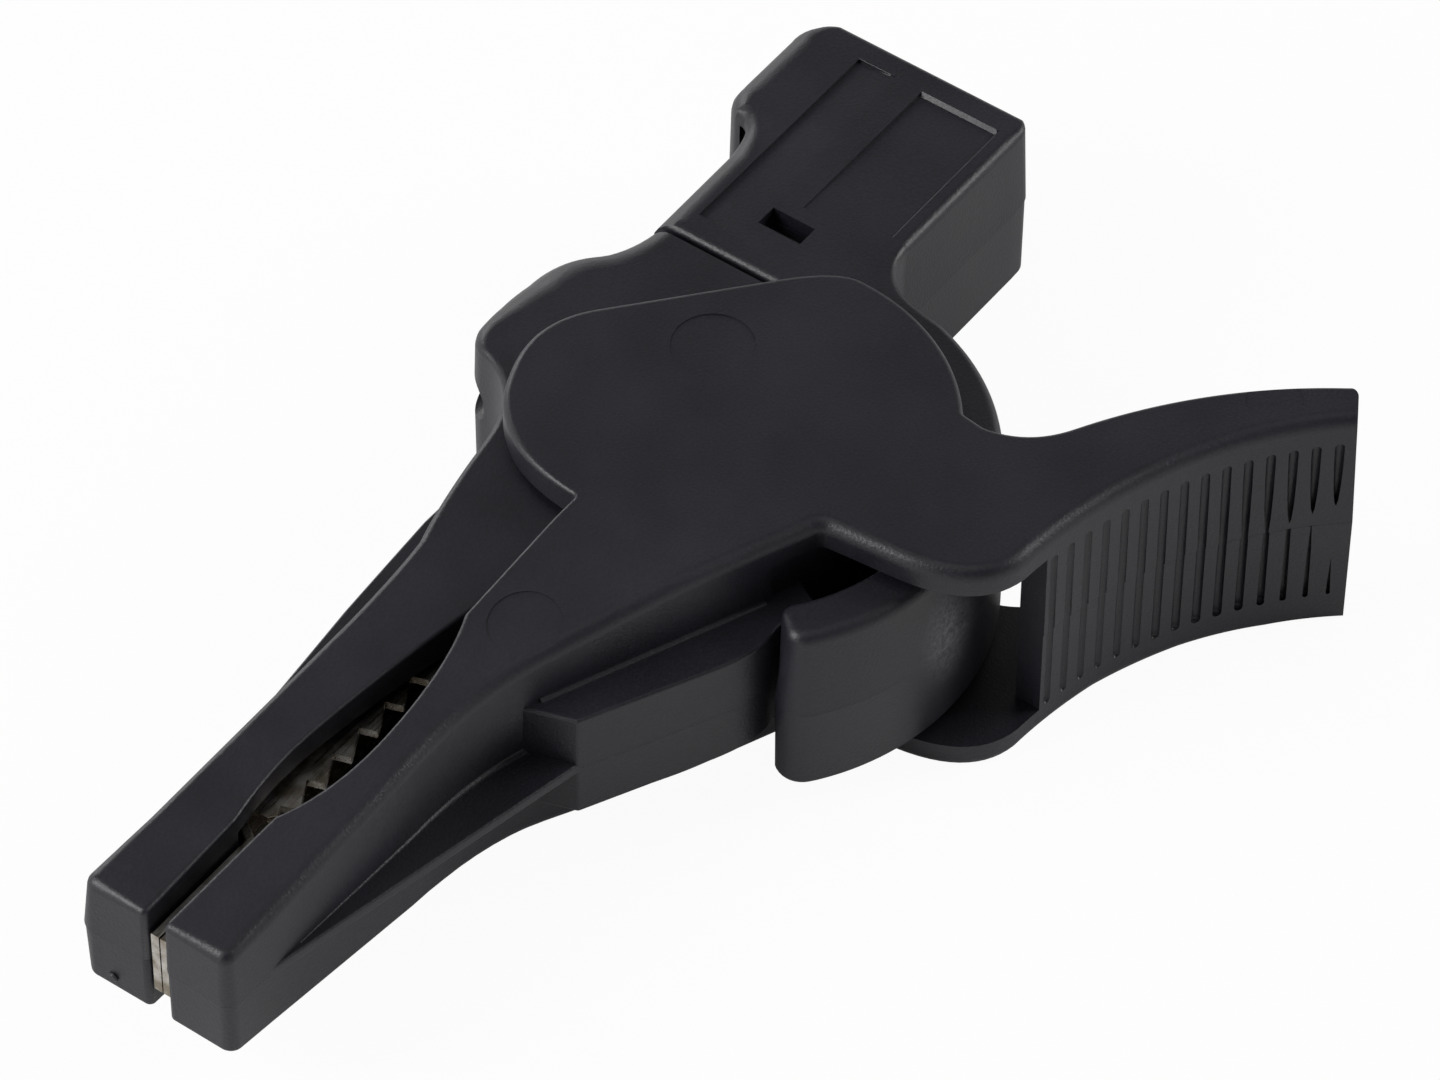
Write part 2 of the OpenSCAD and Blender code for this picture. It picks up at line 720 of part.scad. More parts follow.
module rivet(grip) {
  rotate([-90, 0, 0])
    union() {
      cylinder(r = 0.8, h = grip, $fn = 48);
      translate([0, 0, -0.45])
        cylinder(r = 1.35, h = 0.45, $fn = 48);
      translate([0, 0, grip])
        cylinder(r = 1.35, h = 0.45, $fn = 48);
    }
}

module strap_rivets() {
  color(nickel)
    lift() {
      translate([rivet_front, strap_inner, 0])
        rivet(strap_sheet + contact_sheet);
      translate([rivet_rear, strap_inner - tab_sheet, 0])
        rivet(strap_sheet + tab_sheet);
    }
}

lever();
front_body();
rear_handle();
guard_tongue();
moving_contact();
fixed_contact();
pivot_pin();
torsion_spring();
socket_post();
socket_sleeve();
link_strap();
strap_rivets();
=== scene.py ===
"""Looks of a fully insulated crocodile clip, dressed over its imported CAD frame."""
import math

import bmesh
import bpy
import numpy as np
from mathutils import Matrix


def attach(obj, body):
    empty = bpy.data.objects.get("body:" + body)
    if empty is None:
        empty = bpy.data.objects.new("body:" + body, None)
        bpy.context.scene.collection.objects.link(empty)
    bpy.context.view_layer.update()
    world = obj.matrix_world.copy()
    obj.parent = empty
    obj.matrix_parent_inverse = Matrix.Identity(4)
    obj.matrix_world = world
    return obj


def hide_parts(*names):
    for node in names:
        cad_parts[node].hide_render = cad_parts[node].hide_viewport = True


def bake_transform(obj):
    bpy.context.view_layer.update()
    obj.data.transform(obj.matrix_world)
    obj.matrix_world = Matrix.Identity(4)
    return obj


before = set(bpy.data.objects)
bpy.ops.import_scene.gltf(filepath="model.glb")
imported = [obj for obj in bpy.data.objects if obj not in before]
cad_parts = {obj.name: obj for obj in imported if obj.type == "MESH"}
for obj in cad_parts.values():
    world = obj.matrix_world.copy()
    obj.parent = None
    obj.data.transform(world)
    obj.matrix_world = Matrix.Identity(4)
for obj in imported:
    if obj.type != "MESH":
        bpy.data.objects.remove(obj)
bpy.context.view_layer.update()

bl_info = {
    "name": "Crocodile clip",
    "version": (1, 0, 0),
    "blender": (4, 5, 0),
    "location": "3D View > Sidebar > Clip",
    "description": "Builds an insulated crocodile clip around its CAD frame",
    "category": "Add Mesh",
}

MM = 0.001

# Sizes in millimetres and angles in degrees, from the CAD solids or close to them. The middle plane lies at
# MID above the table, and heights in the code count from that plane.
MID = 9.0
BODY_HALF = 6.45
TIP_HALF = 4.4
TIP_X = -49.8
JAW_LINE = 5.75
TIP_IN_MOVING = 5.3
TIP_IN_FIXED = 6.6
FLOOR_MOVING = 2.0
FLOOR_FIXED = 9.5
MOUTH_FRONT = 38.5
MOUTH_LIP = 41.0
MOUTH_BACK = 21.85
SHEET = 0.6
STRIP_HEIGHT = 5.2
FIXED_HEIGHT = 6.8
MOVING_HEIGHT = 5.2
CHEEK_RADIUS = 14.3
HUB_RADIUS = 8.3
PIN_RADIUS = 1.5
EAR_RADIUS = 3.2
BLOCK_HALF = 4.15
CAVITY_HALF = 4.4
FIN_HALF = 0.4
GUARD_INNER = 13.7
GUARD_OUTER = 16.8
GRIP_CENTRE = (-1.8, -58.0)
GRIP_RADIUS = 36.8
GRIP_BREAK = 63.1
END_CENTRE = (2.635, -49.26)
END_RADIUS = 27.0
GRIP_WALL = 1.9
HANDLE_FRONT = 12.9
HANDLE_REAR = 34.3
HANDLE_LOW = 1.05
HANDLE_HIGH = 15.55
HANDLE_AXIS = 8.3
SEAM = 12.35
WALL_REAR = 10.35
COLLAR_REAR = 19.8
COLLAR_HALF_Y = 6.1
COLLAR_HALF_Z = 5.3
SHROUD_RADIUS = 4.1
POST_RADIUS = 3.0
FLANGE_RADIUS = 3.9
SLEEVE_RADIUS = 2.47
SLEEVE_BORE = 2.01
SLEEVE_MOUTH = 30.8
WIRE_RADIUS = 0.5
ARM_OUT = np.array((22.68, -31.26))
ARM_IN = np.array((25.05, -29.8))
HEEL = np.array((-4.0, -9.7))
FLANK_START = np.array((-22.0, -1.94))
FLANK_WALL = 1.8
WALL_STOP = 3.6
TAIL_ANGLE = 241
TAIL_OUT = 12.7
TAIL_IN = 9.5
RIVET_FRONT = -13.0
RIVET_REAR = 7.4
RIVET_HOLE = 0.81
LEVER_CREASE = -11.8
SPRING_POST = (6.495, -3.75)
SPRING_POST_RADIUS = 0.9
TURNING_FIT = 0.05
PRESS_FIT = 0.01

# Sizes that only the dressed part has, in millimetres, and the number of gaps between its teeth.
CHEEK_FACE = 7.0
LEVER_BEND = -12.8
BODY_BEND = -10.4
BEND_SOFTNESS = 1.2
TOOTHED_HEIGHT = 5.4
GAP_COUNT = 6
TOOTH_PITCH = 2.57
TOOTH_DEPTH = 1.1
TOOTH_LEAN = 0.85
FIRST_GAP = -25.3
FIN_RIM = 0.18
SHEET_RIM = 0.06

# Rules for outlines and slabs: lengths in millimetres, CORNER_STEP in degrees, the others plain ratios.
LEAST_RIM = 0.03
GROOVE_HALF = 0.08
GROOVE_DEPTH = 0.035
MEETING_GAP = 0.02
LOWER_KEEP = 0.85
CREASE_CLEAR = 0.6
STRAIGHT_SINE = 0.07
LEAST_SLIDE = 0.3
SAME_X = 1e-6
SAME_PLACE = 1e-4
CORNER_STEP = 11
UNSPLIT = 40
FAR_X = 100.0

# Merging distances in metres.
SAME_POINT = 1e-8
STRAY_POINT = 2e-6
SLIVER = 1e-6


# Plan curves


def at(radius, degrees, centre=(0.0, 0.0)):
    """Point at a distance and direction from a centre."""
    a = math.radians(degrees)
    return (centre[0] + radius * math.cos(a), centre[1] + radius * math.sin(a))


def arc(centre, radius, start, end, count):
    """Points of an arc, both ends included."""
    return [at(radius, start + (end - start) * i / count, centre) for i in range(count + 1)]


def bend(p, q, s, count):
    """Points of a curve that leaves p towards q and arrives at s, without p itself."""
    points = []
    for i in range(1, count + 1):
        t = i / count
        points.append(tuple((1 - t) ** 2 * p[k] + 2 * t * (1 - t) * q[k] + t * t * s[k] for k in (0, 1)))
    return points


def plan(points, longest=0.8):
    """Closed outline: a corner with a third number gets that radius, and long sides are split."""
    corners = [(p[0], p[1], p[2] if len(p) > 2 else 0.0) for p in points]
    rounded = []
    for i, (x, y, radius) in enumerate(corners):
        here = np.array((x, y))
        if radius <= 0:
            rounded.append(here)
            continue
        before = np.array(corners[i - 1][:2]) - here
        after = np.array(corners[(i + 1) % len(corners)][:2]) - here
        before /= np.linalg.norm(before)
        after /= np.linalg.norm(after)
        half = math.acos(np.clip(before @ after, -1, 1)) / 2
        middle = here + (before + after) / np.linalg.norm(before + after) * radius / math.sin(half)
        first = here + before * radius / math.tan(half) - middle
        last = here + after * radius / math.tan(half) - middle
        start = math.atan2(first[1], first[0])
        turn = (math.atan2(last[1], last[0]) - start + math.pi) % (2 * math.pi) - math.pi
        count = max(4, math.ceil(abs(turn) / math.radians(CORNER_STEP)))
        for j in range(count + 1):
            a = start + turn * j / count
            rounded.append(middle + radius * np.array((math.cos(a), math.sin(a))))
    dense = []
    for i, p in enumerate(rounded):
        q = rounded[(i + 1) % len(rounded)]
        length = np.linalg.norm(q - p)
        if length < SAME_PLACE:
            continue
        count = max(1, math.ceil(length / longest))
        dense.extend(p + (q - p) * j / count for j in range(count))
    outline = np.array(dense)
    x, y = outline.T
    if np.sum(x * np.roll(y, -1) - y * np.roll(x, -1)) < 0:
        outline = outline[::-1]
    return outline


def along(outline, anchors):
    """Columns of anchor values, run smoothly along a closed outline between the anchors' places."""
    steps = np.linalg.norm(np.roll(outline, -1, axis=0) - outline, axis=1)
    place = np.concatenate(([0.0], np.cumsum(steps)))
    rows = []
    for x, y, *values in anchors:
        nearest = np.argmin(np.hypot(outline[:, 0] - x, outline[:, 1] - y))
        rows.append((place[nearest], *values))
    rows = np.array(sorted(rows))
    return [np.interp(place[:-1], rows[:, 0], column, period=place[-1]) for column in rows.T[1:]]


# Solids


def mesh_object(name, points, faces):
    """Closed mesh from points in millimetres about the middle plane."""
    mesh = bpy.data.meshes.new(name)
    places = np.asarray(points, float) * MM
    places[:, 2] += MID * MM
    mesh.from_pydata(places.tolist(), [], faces)
    work = bmesh.new()
    work.from_mesh(mesh)
    bmesh.ops.remove_doubles(work, verts=work.verts, dist=SAME_POINT)
    bmesh.ops.recalc_face_normals(work, faces=work.faces)
    work.to_mesh(mesh)
    work.free()
    piece = bpy.data.objects.new(name, mesh)
    bpy.context.scene.collection.objects.link(piece)
    return piece


def crease_rows(outline, creases):
    """Points of an outline, with those where it crosses the creases.

    Each row holds the place, the number of its crease or -1, the numbers of the two outline points that it
    lies between, and its share of the way from the first to the second.
    """
    rows = []
    for i, p in enumerate(outline):
        following = (i + 1) % len(outline)
        q = outline[following]
        on = [k for k, c in enumerate(creases) if abs(p[0] - c) < SAME_X]
        rows.append((p, on[0] if on else -1, i, i, 0.0))
        hits = [((c - p[0]) / (q[0] - p[0]), k) for k, c in enumerate(creases)
                if (p[0] - c) * (q[0] - c) < 0 and min(abs(p[0] - c), abs(q[0] - c)) > SAME_X]
        for t, k in sorted(hits):
            rows.append((p + (q - p) * t, k, i, following, t))
    # A point on a straight run close to a crease would be passed by it when the rim is drawn inward.
    kept = []
    for k, row in enumerate(rows):
        before, after = rows[k - 1], rows[(k + 1) % len(rows)]
        close = any(r[1] >= 0 and np.linalg.norm(r[0] - row[0]) < CREASE_CLEAR for r in (before, after))
        a, b = row[0] - before[0], after[0] - row[0]
        straight = abs(a[0] * b[1] - a[1] * b[0]) < STRAIGHT_SINE * np.linalg.norm(a) * np.linalg.norm(b)
        if row[1] >= 0 or not (close and straight):
            kept.append(row)
    return kept


def outward(flat):
    """Outward direction at each point of a closed outline, and the factor that lengthens an offset there."""
    ahead = np.roll(flat, -1, axis=0) - flat
    ahead /= np.linalg.norm(ahead, axis=1)[:, None]
    out_ahead = np.column_stack((ahead[:, 1], -ahead[:, 0]))
    out = out_ahead + np.roll(out_ahead, 1, axis=0)
    out /= np.linalg.norm(out, axis=1)[:, None]
    least_cosine = 0.6
    return out, 1 / np.clip(np.sum(out * out_ahead, axis=1), least_cosine, 1)


def face_loops(crease_of, creases):
    """Loops of point numbers that make up the face of a slab, split along its creases."""
    loops = [list(range(len(crease_of)))]
    for k in range(len(creases)):
        split = []
        for loop in loops:
            ends = [m for m, v in enumerate(loop) if crease_of[v] == k]
            if len(ends) == 2 and 1 < ends[1] - ends[0] < len(loop) - 1:
                a, b = ends
                split += [loop[a:b + 1], loop[b:] + loop[:a + 1]]
            else:
                split.append(loop)
        loops = split
    return loops


def slab(name, outline, half, rims=None, drafts=0.0, creases=(), parting=0.0, level=0.0, rounds=5, low=1.0,
         keep=0.0):
    """Moulded slab about a middle plane: rounded rims, drafted sides that meet at a parting step.

    half is a height or pairs of x and height, rims and drafts are one number or one for each point of
    the outline, and creases are the x of lines across which the two faces bend. low scales the rims of the
    lower half in the same way, and keep is the share of its width that the lower half keeps to its end.
    A parting step comes with a fine groove where the two mould halves meet.
    """
    outline = np.asarray(outline, float)
    heights = half if isinstance(half, (list, tuple)) else [(-FAR_X, half), (FAR_X, half)]
    height_x, height_z = np.array(heights, float).T
    rows = crease_rows(outline, creases)
    flat = np.array([r[0] for r in rows])
    crease_of = np.array([r[1] for r in rows])
    out, mitre = outward(flat)
    count = len(flat)

    def at_rows(values):
        """One value for each row, from one number or one for each point of the outline."""
        values = np.broadcast_to(values, len(outline))
        return np.array([values[a] * (1 - t) + values[b] * t for _, _, a, b, t in rows])

    def ring(offset, sink, sign):
        """Ring of points at an offset from the outline, sink below the face."""
        place = flat + out * (mitre * offset)[:, None]
        held = crease_of >= 0
        slide = np.where(np.abs(out[:, 1]) > LEAST_SLIDE, out[:, 1], np.copysign(LEAST_SLIDE, out[:, 1]))
        place[held, 0] = flat[held, 0]
        place[held, 1] = flat[held, 1] + (offset / slide)[held]
        z = np.interp(place[:, 0], height_x, height_z)
        return np.column_stack((place, sign * (z - sink) + level))

    draft, low, keep = at_rows(drafts), at_rows(low), at_rows(keep)
    rim = None if rims is None else at_rows(np.maximum(rims, LEAST_RIM))
    base = np.interp(flat[:, 0], height_x, height_z)
    lean = np.tan(np.radians(draft))
    stacks = []
    for sign in (1, -1):
        stack = []
        shift = 0.0 if sign > 0 else -parting
        held_wide = 0.0 if sign > 0 else keep
        if rim is None:
            stack.append(ring(np.full(count, shift), 0.0, sign))
        else:
            edge = rim if sign > 0 else np.maximum(rim * low, LEAST_RIM)
            for j in range(rounds, -1, -1):
                a = math.radians(90 * j / rounds)
                sink = edge * (1 - math.sin(a))
                wide = lean * (sink + held_wide * (base - sink))
                stack.append(ring(shift - edge * (1 - math.cos(a)) + wide, sink, sign))
        side = shift + lean * base
        if parting:
            stack.append(ring(side, base - GROOVE_HALF, sign))
            stack.append(ring(side - GROOVE_DEPTH, base - MEETING_GAP, sign))
        elif np.any(draft):
            stack.append(ring(side, base - MEETING_GAP, sign))
        stacks.append(stack)
    stacked = stacks[0] + stacks[1][::-1]
    faces = []
    for r in range(len(stacked) - 1):
        here, below = r * count, (r + 1) * count
        for i in range(count):
            j = (i + 1) % count
            faces.append((here + j, here + i, below + i, below + j))
    last = (len(stacked) - 1) * count
    for loop in face_loops(crease_of, creases):
        faces.append(tuple(loop))
        faces.append(tuple(last + v for v in reversed(loop)))
    return mesh_object(name, np.vstack(stacked), faces)


def lathe(name, profile, centre, count=64):
    """Turned solid: a closed profile of (along, radius) pairs, spun about a line along X."""
    points, faces = [], []
    n = len(profile)
    for i in range(count):
        a = 2 * math.pi * i / count
        points += [(s, r * math.cos(a) + centre[0], r * math.sin(a) + centre[1]) for s, r in profile]
        here, after = i * n, (i + 1) % count * n
        faces += [(here + k, here + (k + 1) % n, after + (k + 1) % n, after + k) for k in range(n)]
    return mesh_object(name, points, faces)


def rod(name, start, end, radius, axis="X", centre=(0.0, 0.0), count=48):
    """Plain round tool along an axis, for holes and seats."""
    points, faces = [], []
    for i in range(count):
        a = 2 * math.pi * i / count
        u, v = centre[0] + radius * math.cos(a), centre[1] + radius * math.sin(a)
        for s in (start, end):
            points.append((s, u, v) if axis == "X" else (u, v, s) if axis == "Z" else (u, s, v))
    for i in range(count):
        j = (i + 1) % count
        faces.append((2 * i, 2 * j, 2 * j + 1, 2 * i + 1))
    faces.append(tuple(range(0, 2 * count, 2)))
    faces.append(tuple(range(1, 2 * count, 2)))
    return mesh_object(name, points, faces)


def prism(name, outline, low, high, axis="Y"):
    """Plain prism along Y from an outline in X and Z, or along X from one in Y and Z."""
    count = len(outline)
    points = [(u, s, z) if axis == "Y" else (s, u, z) for s in (low, high) for u, z in outline]
    faces = [(i, (i + 1) % count, count + (i + 1) % count, count + i) for i in range(count)]
    faces += [tuple(range(count)), tuple(range(count, 2 * count))]
    return mesh_object(name, points, faces)


def cove(name, path, level, size):
    """Hollow fillet along a wall's foot.

    path is the foot in plan, with the wall on its left, level is the height of the ledge, and size is one
    number or one for each point of the path.
    """
    into_wall, into_ledge, steps = 0.35, 0.25, 7
    path = np.asarray(path, float)
    ahead = np.gradient(path, axis=0)
    ahead /= np.linalg.norm(ahead, axis=1)[:, None]
    out = np.column_stack((ahead[:, 1], -ahead[:, 0]))
    up = math.copysign(1, level)
    hollow = [(1 - math.sin(a), 1 - math.cos(a)) for a in np.radians(np.linspace(0, 90, steps))]
    points = []
    for p, side, s in zip(path, out, np.broadcast_to(size, len(path))):
        section = [(-into_wall, -into_ledge), (s, -into_ledge)]
        section += [(s * w, s * h) for w, h in hollow] + [(-into_wall, s)]
        points += [(*(p + side * w), level + up * h) for w, h in section]
    n, faces = len(section), []
    for r in range(len(path) - 1):
        for i in range(n):
            j = (i + 1) % n
            faces.append((r * n + i, r * n + j, (r + 1) * n + j, (r + 1) * n + i))
    faces += [tuple(range(n)), tuple(range((len(path) - 1) * n, len(path) * n))]
    return mesh_object(name, points, faces)


def ejector_mark(name, centre, radius, depth, heights):
    """Round tool that leaves the shallow mark of an ejector pin in a flat or sloping upper face."""
    x, z = np.array(heights, float).T
    points, faces, count = [], [], 48
    for i in range(count):
        px, py = at(radius, 360 * i / count, centre)
        face = np.interp(px, x, z)
        points += [(px, py, face - depth), (px, py, face + 1)]
        faces.append((2 * i, (2 * i + 2) % (2 * count), (2 * i + 3) % (2 * count), 2 * i + 1))
    faces += [tuple(range(0, 2 * count, 2)), tuple(range(1, 2 * count, 2))]
    return mesh_object(name, points, faces)


def block(name, low, high):
    """Box tool between two corners."""
    points = [(x, y, z) for x in (low[0], high[0]) for y in (low[1], high[1]) for z in (low[2], high[2])]
    faces = [(0, 1, 3, 2), (4, 6, 7, 5), (0, 4, 5, 1), (2, 3, 7, 6), (0, 2, 6, 4), (1, 5, 7, 3)]
    return mesh_object(name, points, faces)


def line_mesh(name, points):
    """Open line of edges through points in millimetres about the middle plane."""
    mesh = bpy.data.meshes.new(name)
    places = [(x * MM, y * MM, (z + MID) * MM) for x, y, z in points]
    mesh.from_pydata(places, [(i, i + 1) for i in range(len(points) - 1)], [])
    return mesh


def bake(piece):
    """Turns the evaluated piece into a plain mesh and drops its modifiers."""
    graph = bpy.context.evaluated_depsgraph_get()
    made = bpy.data.meshes.new_from_object(piece.evaluated_get(graph))
    old = piece.data
    piece.modifiers.clear()
    piece.data = made
    bpy.data.meshes.remove(old)
    if not made.polygons:
        raise RuntimeError(f"{piece.name} came out empty")
    return piece


def join(*tools):
    """Steps that join tools to a piece."""
    return [("UNION", tool) for tool in tools]


def cut(*tools):
    """Steps that cut tools from a piece."""
    return [("DIFFERENCE", tool) for tool in tools]


def carve(piece, *groups):
    """Works groups of steps on a piece, in order, and removes their tools."""
    steps = [step for group in groups for step in group]
    for operation, tool in steps:
        modifier = piece.modifiers.new(operation, "BOOLEAN")
        modifier.operation = operation
        modifier.solver = "MANIFOLD"
        modifier.object = tool
    bake(piece)
    for _, tool in steps:
        mesh = tool.data
        bpy.data.objects.remove(tool)
        bpy.data.meshes.remove(mesh)
    return piece


def dress(piece, material, sharp=32):
    """Merges strays, sets smooth shading with crisp edges and gives the piece its material."""
    work = bmesh.new()
    work.from_mesh(piece.data)
    bmesh.ops.remove_doubles(work, verts=work.verts, dist=STRAY_POINT)
    bmesh.ops.dissolve_degenerate(work, edges=work.edges, dist=SLIVER)
    work.to_mesh(piece.data)
    work.free()
    piece.data.materials.clear()
    piece.data.materials.append(material)
    for face in piece.data.polygons:
        face.material_index = 0
    piece.data.shade_smooth()
    piece.data.set_sharp_from_angle(angle=math.radians(sharp))
    weighted = piece.modifiers.new("Weighted normals", "WEIGHTED_NORMAL")
    weighted.keep_sharp = True
    weighted.mode = "FACE_AREA"
    return bake(piece)


# Node trees


def add(tree, kind, inputs=None, **settings):
    """Adds one node with its settings; an input takes a value or another node's socket."""
    made = tree.nodes.new(kind)
    for key, value in settings.items():
        setattr(made, key, value)
    for key, value in (inputs or {}).items():
        if isinstance(value, bpy.types.NodeSocket):
            tree.links.new(value, made.inputs[key])
        else:
            made.inputs[key].default_value = value
    return made


def linear(code):
    """Linear colour from an sRGB hex code."""
    values = [int(code[i:i + 2], 16) / 255 for i in (1, 3, 5)]
    return tuple(v / 12.92 if v <= 0.04045 else ((v + 0.055) / 1.055) ** 2.4 for v in values)


def empty_material(name):
    """Material of that name with an empty tree, made once and refilled after that."""
    material = bpy.data.materials.get(name) or bpy.data.materials.new(name)
    material.use_nodes = True
    material.node_tree.nodes.clear()
    return material, material.node_tree


def shade(colour, share):
    """Darker or lighter tone of a colour."""
    return [c * share for c in colour]


def set_stops(ramp, *stops):
    """Sets the two stops of a colour ramp node, each given as position and colour."""
    for element, (position, colour) in zip(ramp.color_ramp.elements, stops):
        element.position = position
        element.color = [*colour, 1.0]


def moulded_polyamide(finish):
    """Polyamide, moulded in a spark-eroded cavity: a near-black, satin skin with a fine even grain,
    faint cloudy changes of gloss, and one greyer patch of rubbed wear with a painted highlight on it."""
    material, tree = empty_material("moulded polyamide, spark-eroded satin")
    where = add(tree, "ShaderNodeTexCoord").outputs["Object"]
    # The eroded grain is about 0.06 mm; it is drawn at 0.2 mm so that it shows in the render.
    grain = add(tree, "ShaderNodeTexNoise", {"Vector": where, "Scale": 1 / 0.0002, "Detail": 2.0})
    # Flow clouds of the melt, about 7 mm across.
    cloud = add(tree, "ShaderNodeTexNoise", {"Vector": where, "Scale": 1 / 0.007, "Detail": 3.0})
    part = add(tree, "ShaderNodeMath", {0: cloud.outputs["Fac"], 1: 0.4}, operation="MULTIPLY")
    speck = add(tree, "ShaderNodeMath", {0: grain.outputs["Fac"], 1: 0.6, 2: part.outputs[0]},
                operation="MULTIPLY_ADD")
    tone = add(tree, "ShaderNodeValToRGB", {"Fac": speck.outputs[0]})
    set_stops(tone, (0.38, shade(finish.plastic, 0.7)), (0.64, shade(finish.plastic, 1.3)))
    # One patch on the outside of the guard, about 7 by 10 mm, broken up by 0.3 mm scratches: rubbed wear,
    # lightened further by a painted highlight where the wall curves.
    centre, radii = (-0.0006, -0.0169, 0.0098), (0.0034, 0.0034, 0.0052)
    away = add(tree, "ShaderNodeVectorMath", {0: where, 1: centre}, operation="SUBTRACT")
    away = add(tree, "ShaderNodeVectorMath", {0: away.outputs[0], 1: [1 / r for r in radii]},
               operation="MULTIPLY")
    away = add(tree, "ShaderNodeVectorMath", {0: away.outputs[0]}, operation="LENGTH")
    patch = add(tree, "ShaderNodeMapRange", {
        "Value": away.outputs["Value"], "From Min": 0.1, "From Max": 1.0, "To Min": 0.85, "To Max": 0.0},
        interpolation_type="SMOOTHSTEP")
    scratch = add(tree, "ShaderNodeTexNoise", {"Vector": where, "Scale": 1 / 0.0003, "Detail": 3.0})
    broken = add(tree, "ShaderNodeMapRange", {
        "Value": scratch.outputs["Fac"], "From Min": 0.25, "From Max": 0.7})
    rub_and_highlight = add(tree, "ShaderNodeMath", {0: patch.outputs["Result"], 1: broken.outputs["Result"]},
              operation="MULTIPLY")
    # The patch colour is rubbed wear plus a painted highlight, mixed into the base colour.
    tone = add(tree, "ShaderNodeMix", {
        "Factor": rub_and_highlight.outputs[0], 6: tone.outputs["Color"], 7: (*finish.rubbed_and_highlight, 1.0)}, data_type="RGBA")
    gloss = add(tree, "ShaderNodeMapRange", {
        "Value": cloud.outputs["Fac"], "From Min": 0.3, "From Max": 0.7, "To Min": 0.4, "To Max": 0.46})
    bump = add(tree, "ShaderNodeBump", {"Height": grain.outputs["Fac"], "Strength": 0.8, "Distance": 0.00003})
    skin = add(tree, "ShaderNodeBsdfPrincipled", {
        "Base Color": tone.outputs[2], "Roughness": gloss.outputs["Result"],
        "Normal": bump.outputs["Normal"], "IOR": 1.53})
    add(tree, "ShaderNodeOutputMaterial", {"Surface": skin.outputs["BSDF"]})
    return material


def smooth_polyamide(finish):
    """Polyamide from a polished cavity: black, with the soft gloss of a turned core pin."""
    material, tree = empty_material("moulded polyamide, polished")
    where = add(tree, "ShaderNodeTexCoord").outputs["Object"]
    # Fine drawing marks of the core along the axis, about 0.2 mm apart.
    stretch = add(tree, "ShaderNodeMapping", {"Vector": where, "Scale": (0.05, 1.0, 1.0)})
    marks = add(tree, "ShaderNodeTexNoise", {"Vector": stretch.outputs["Vector"], "Scale": 1 / 0.0002})
    gloss = add(tree, "ShaderNodeMapRange", {"Value": marks.outputs["Fac"], "To Min": 0.26, "To Max": 0.4})
    bump = add(tree, "ShaderNodeBump", {
        "Height": marks.outputs["Fac"], "Strength": 0.15, "Distance": 0.00001})
    skin = add(tree, "ShaderNodeBsdfPrincipled", {
        "Base Color": [*shade(finish.plastic, 0.9), 1.0], "Roughness": gloss.outputs["Result"],
        "Normal": bump.outputs["Normal"], "IOR": 1.53})
    add(tree, "ShaderNodeOutputMaterial", {"Surface": skin.outputs["BSDF"]})
    return material


def rolled_nickel_brass(finish):
    """Rolled brass sheet, stamped and nickel plated: warm grey metal with rolling streaks along its
    length and darker blotches where the plating is thin."""
    material, tree = empty_material("rolled brass sheet, nickel plated")
    where = add(tree, "ShaderNodeTexCoord").outputs["Object"]
    # Rolling streaks about 0.12 mm wide and 4 mm long.
    stretch = add(tree, "ShaderNodeMapping", {"Vector": where, "Scale": (0.03, 1.0, 1.0)})
    streaks = add(tree, "ShaderNodeTexNoise", {
        "Vector": stretch.outputs["Vector"], "Scale": 1 / 0.00012, "Detail": 4.0})
    # Blotches of thin plating, about 1.5 mm across.
    blotch = add(tree, "ShaderNodeTexNoise", {"Vector": where, "Scale": 1 / 0.0015, "Detail": 3.0})
    tone = add(tree, "ShaderNodeValToRGB", {"Fac": blotch.outputs["Fac"]})
    set_stops(tone, (0.38, finish.brass), (0.62, finish.nickel))
    gloss = add(tree, "ShaderNodeMapRange", {
        "Value": streaks.outputs["Fac"], "From Min": 0.3, "From Max": 0.7, "To Min": 0.22, "To Max": 0.4})
    bump = add(tree, "ShaderNodeBump", {
        "Height": streaks.outputs["Fac"], "Strength": 0.3, "Distance": 0.00001})
    skin = add(tree, "ShaderNodeBsdfPrincipled", {
        "Base Color": tone.outputs["Color"], "Metallic": 1.0, "Roughness": gloss.outputs["Result"],
        "Normal": bump.outputs["Normal"]})
    add(tree, "ShaderNodeOutputMaterial", {"Surface": skin.outputs["BSDF"]})
    return material


def drawn_steel(finish):
    """Drawn spring steel: bright grey metal with a fine uneven skin and small dark specks of drawing soap."""
    material, tree = empty_material("drawn spring steel")
    where = add(tree, "ShaderNodeTexCoord").outputs["Object"]
    # Specks about 0.05 mm wide, drawn at 0.1 mm so that they show.
    specks = add(tree, "ShaderNodeTexNoise", {"Vector": where, "Scale": 1 / 0.0001, "Detail": 3.0})
    tone = add(tree, "ShaderNodeValToRGB", {"Fac": specks.outputs["Fac"]})
    set_stops(tone, (0.3, shade(finish.steel, 0.6)), (0.5, finish.steel))
    gloss = add(tree, "ShaderNodeMapRange", {"Value": specks.outputs["Fac"], "To Min": 0.22, "To Max": 0.4})
    bump = add(tree, "ShaderNodeBump", {
        "Height": specks.outputs["Fac"], "Strength": 0.15, "Distance": 0.00001})
    skin = add(tree, "ShaderNodeBsdfPrincipled", {
        "Base Color": tone.outputs["Color"], "Metallic": 1.0, "Roughness": gloss.outputs["Result"],
        "Normal": bump.outputs["Normal"]})
    add(tree, "ShaderNodeOutputMaterial", {"Surface": skin.outputs["BSDF"]})
    return material


# Geometry Nodes


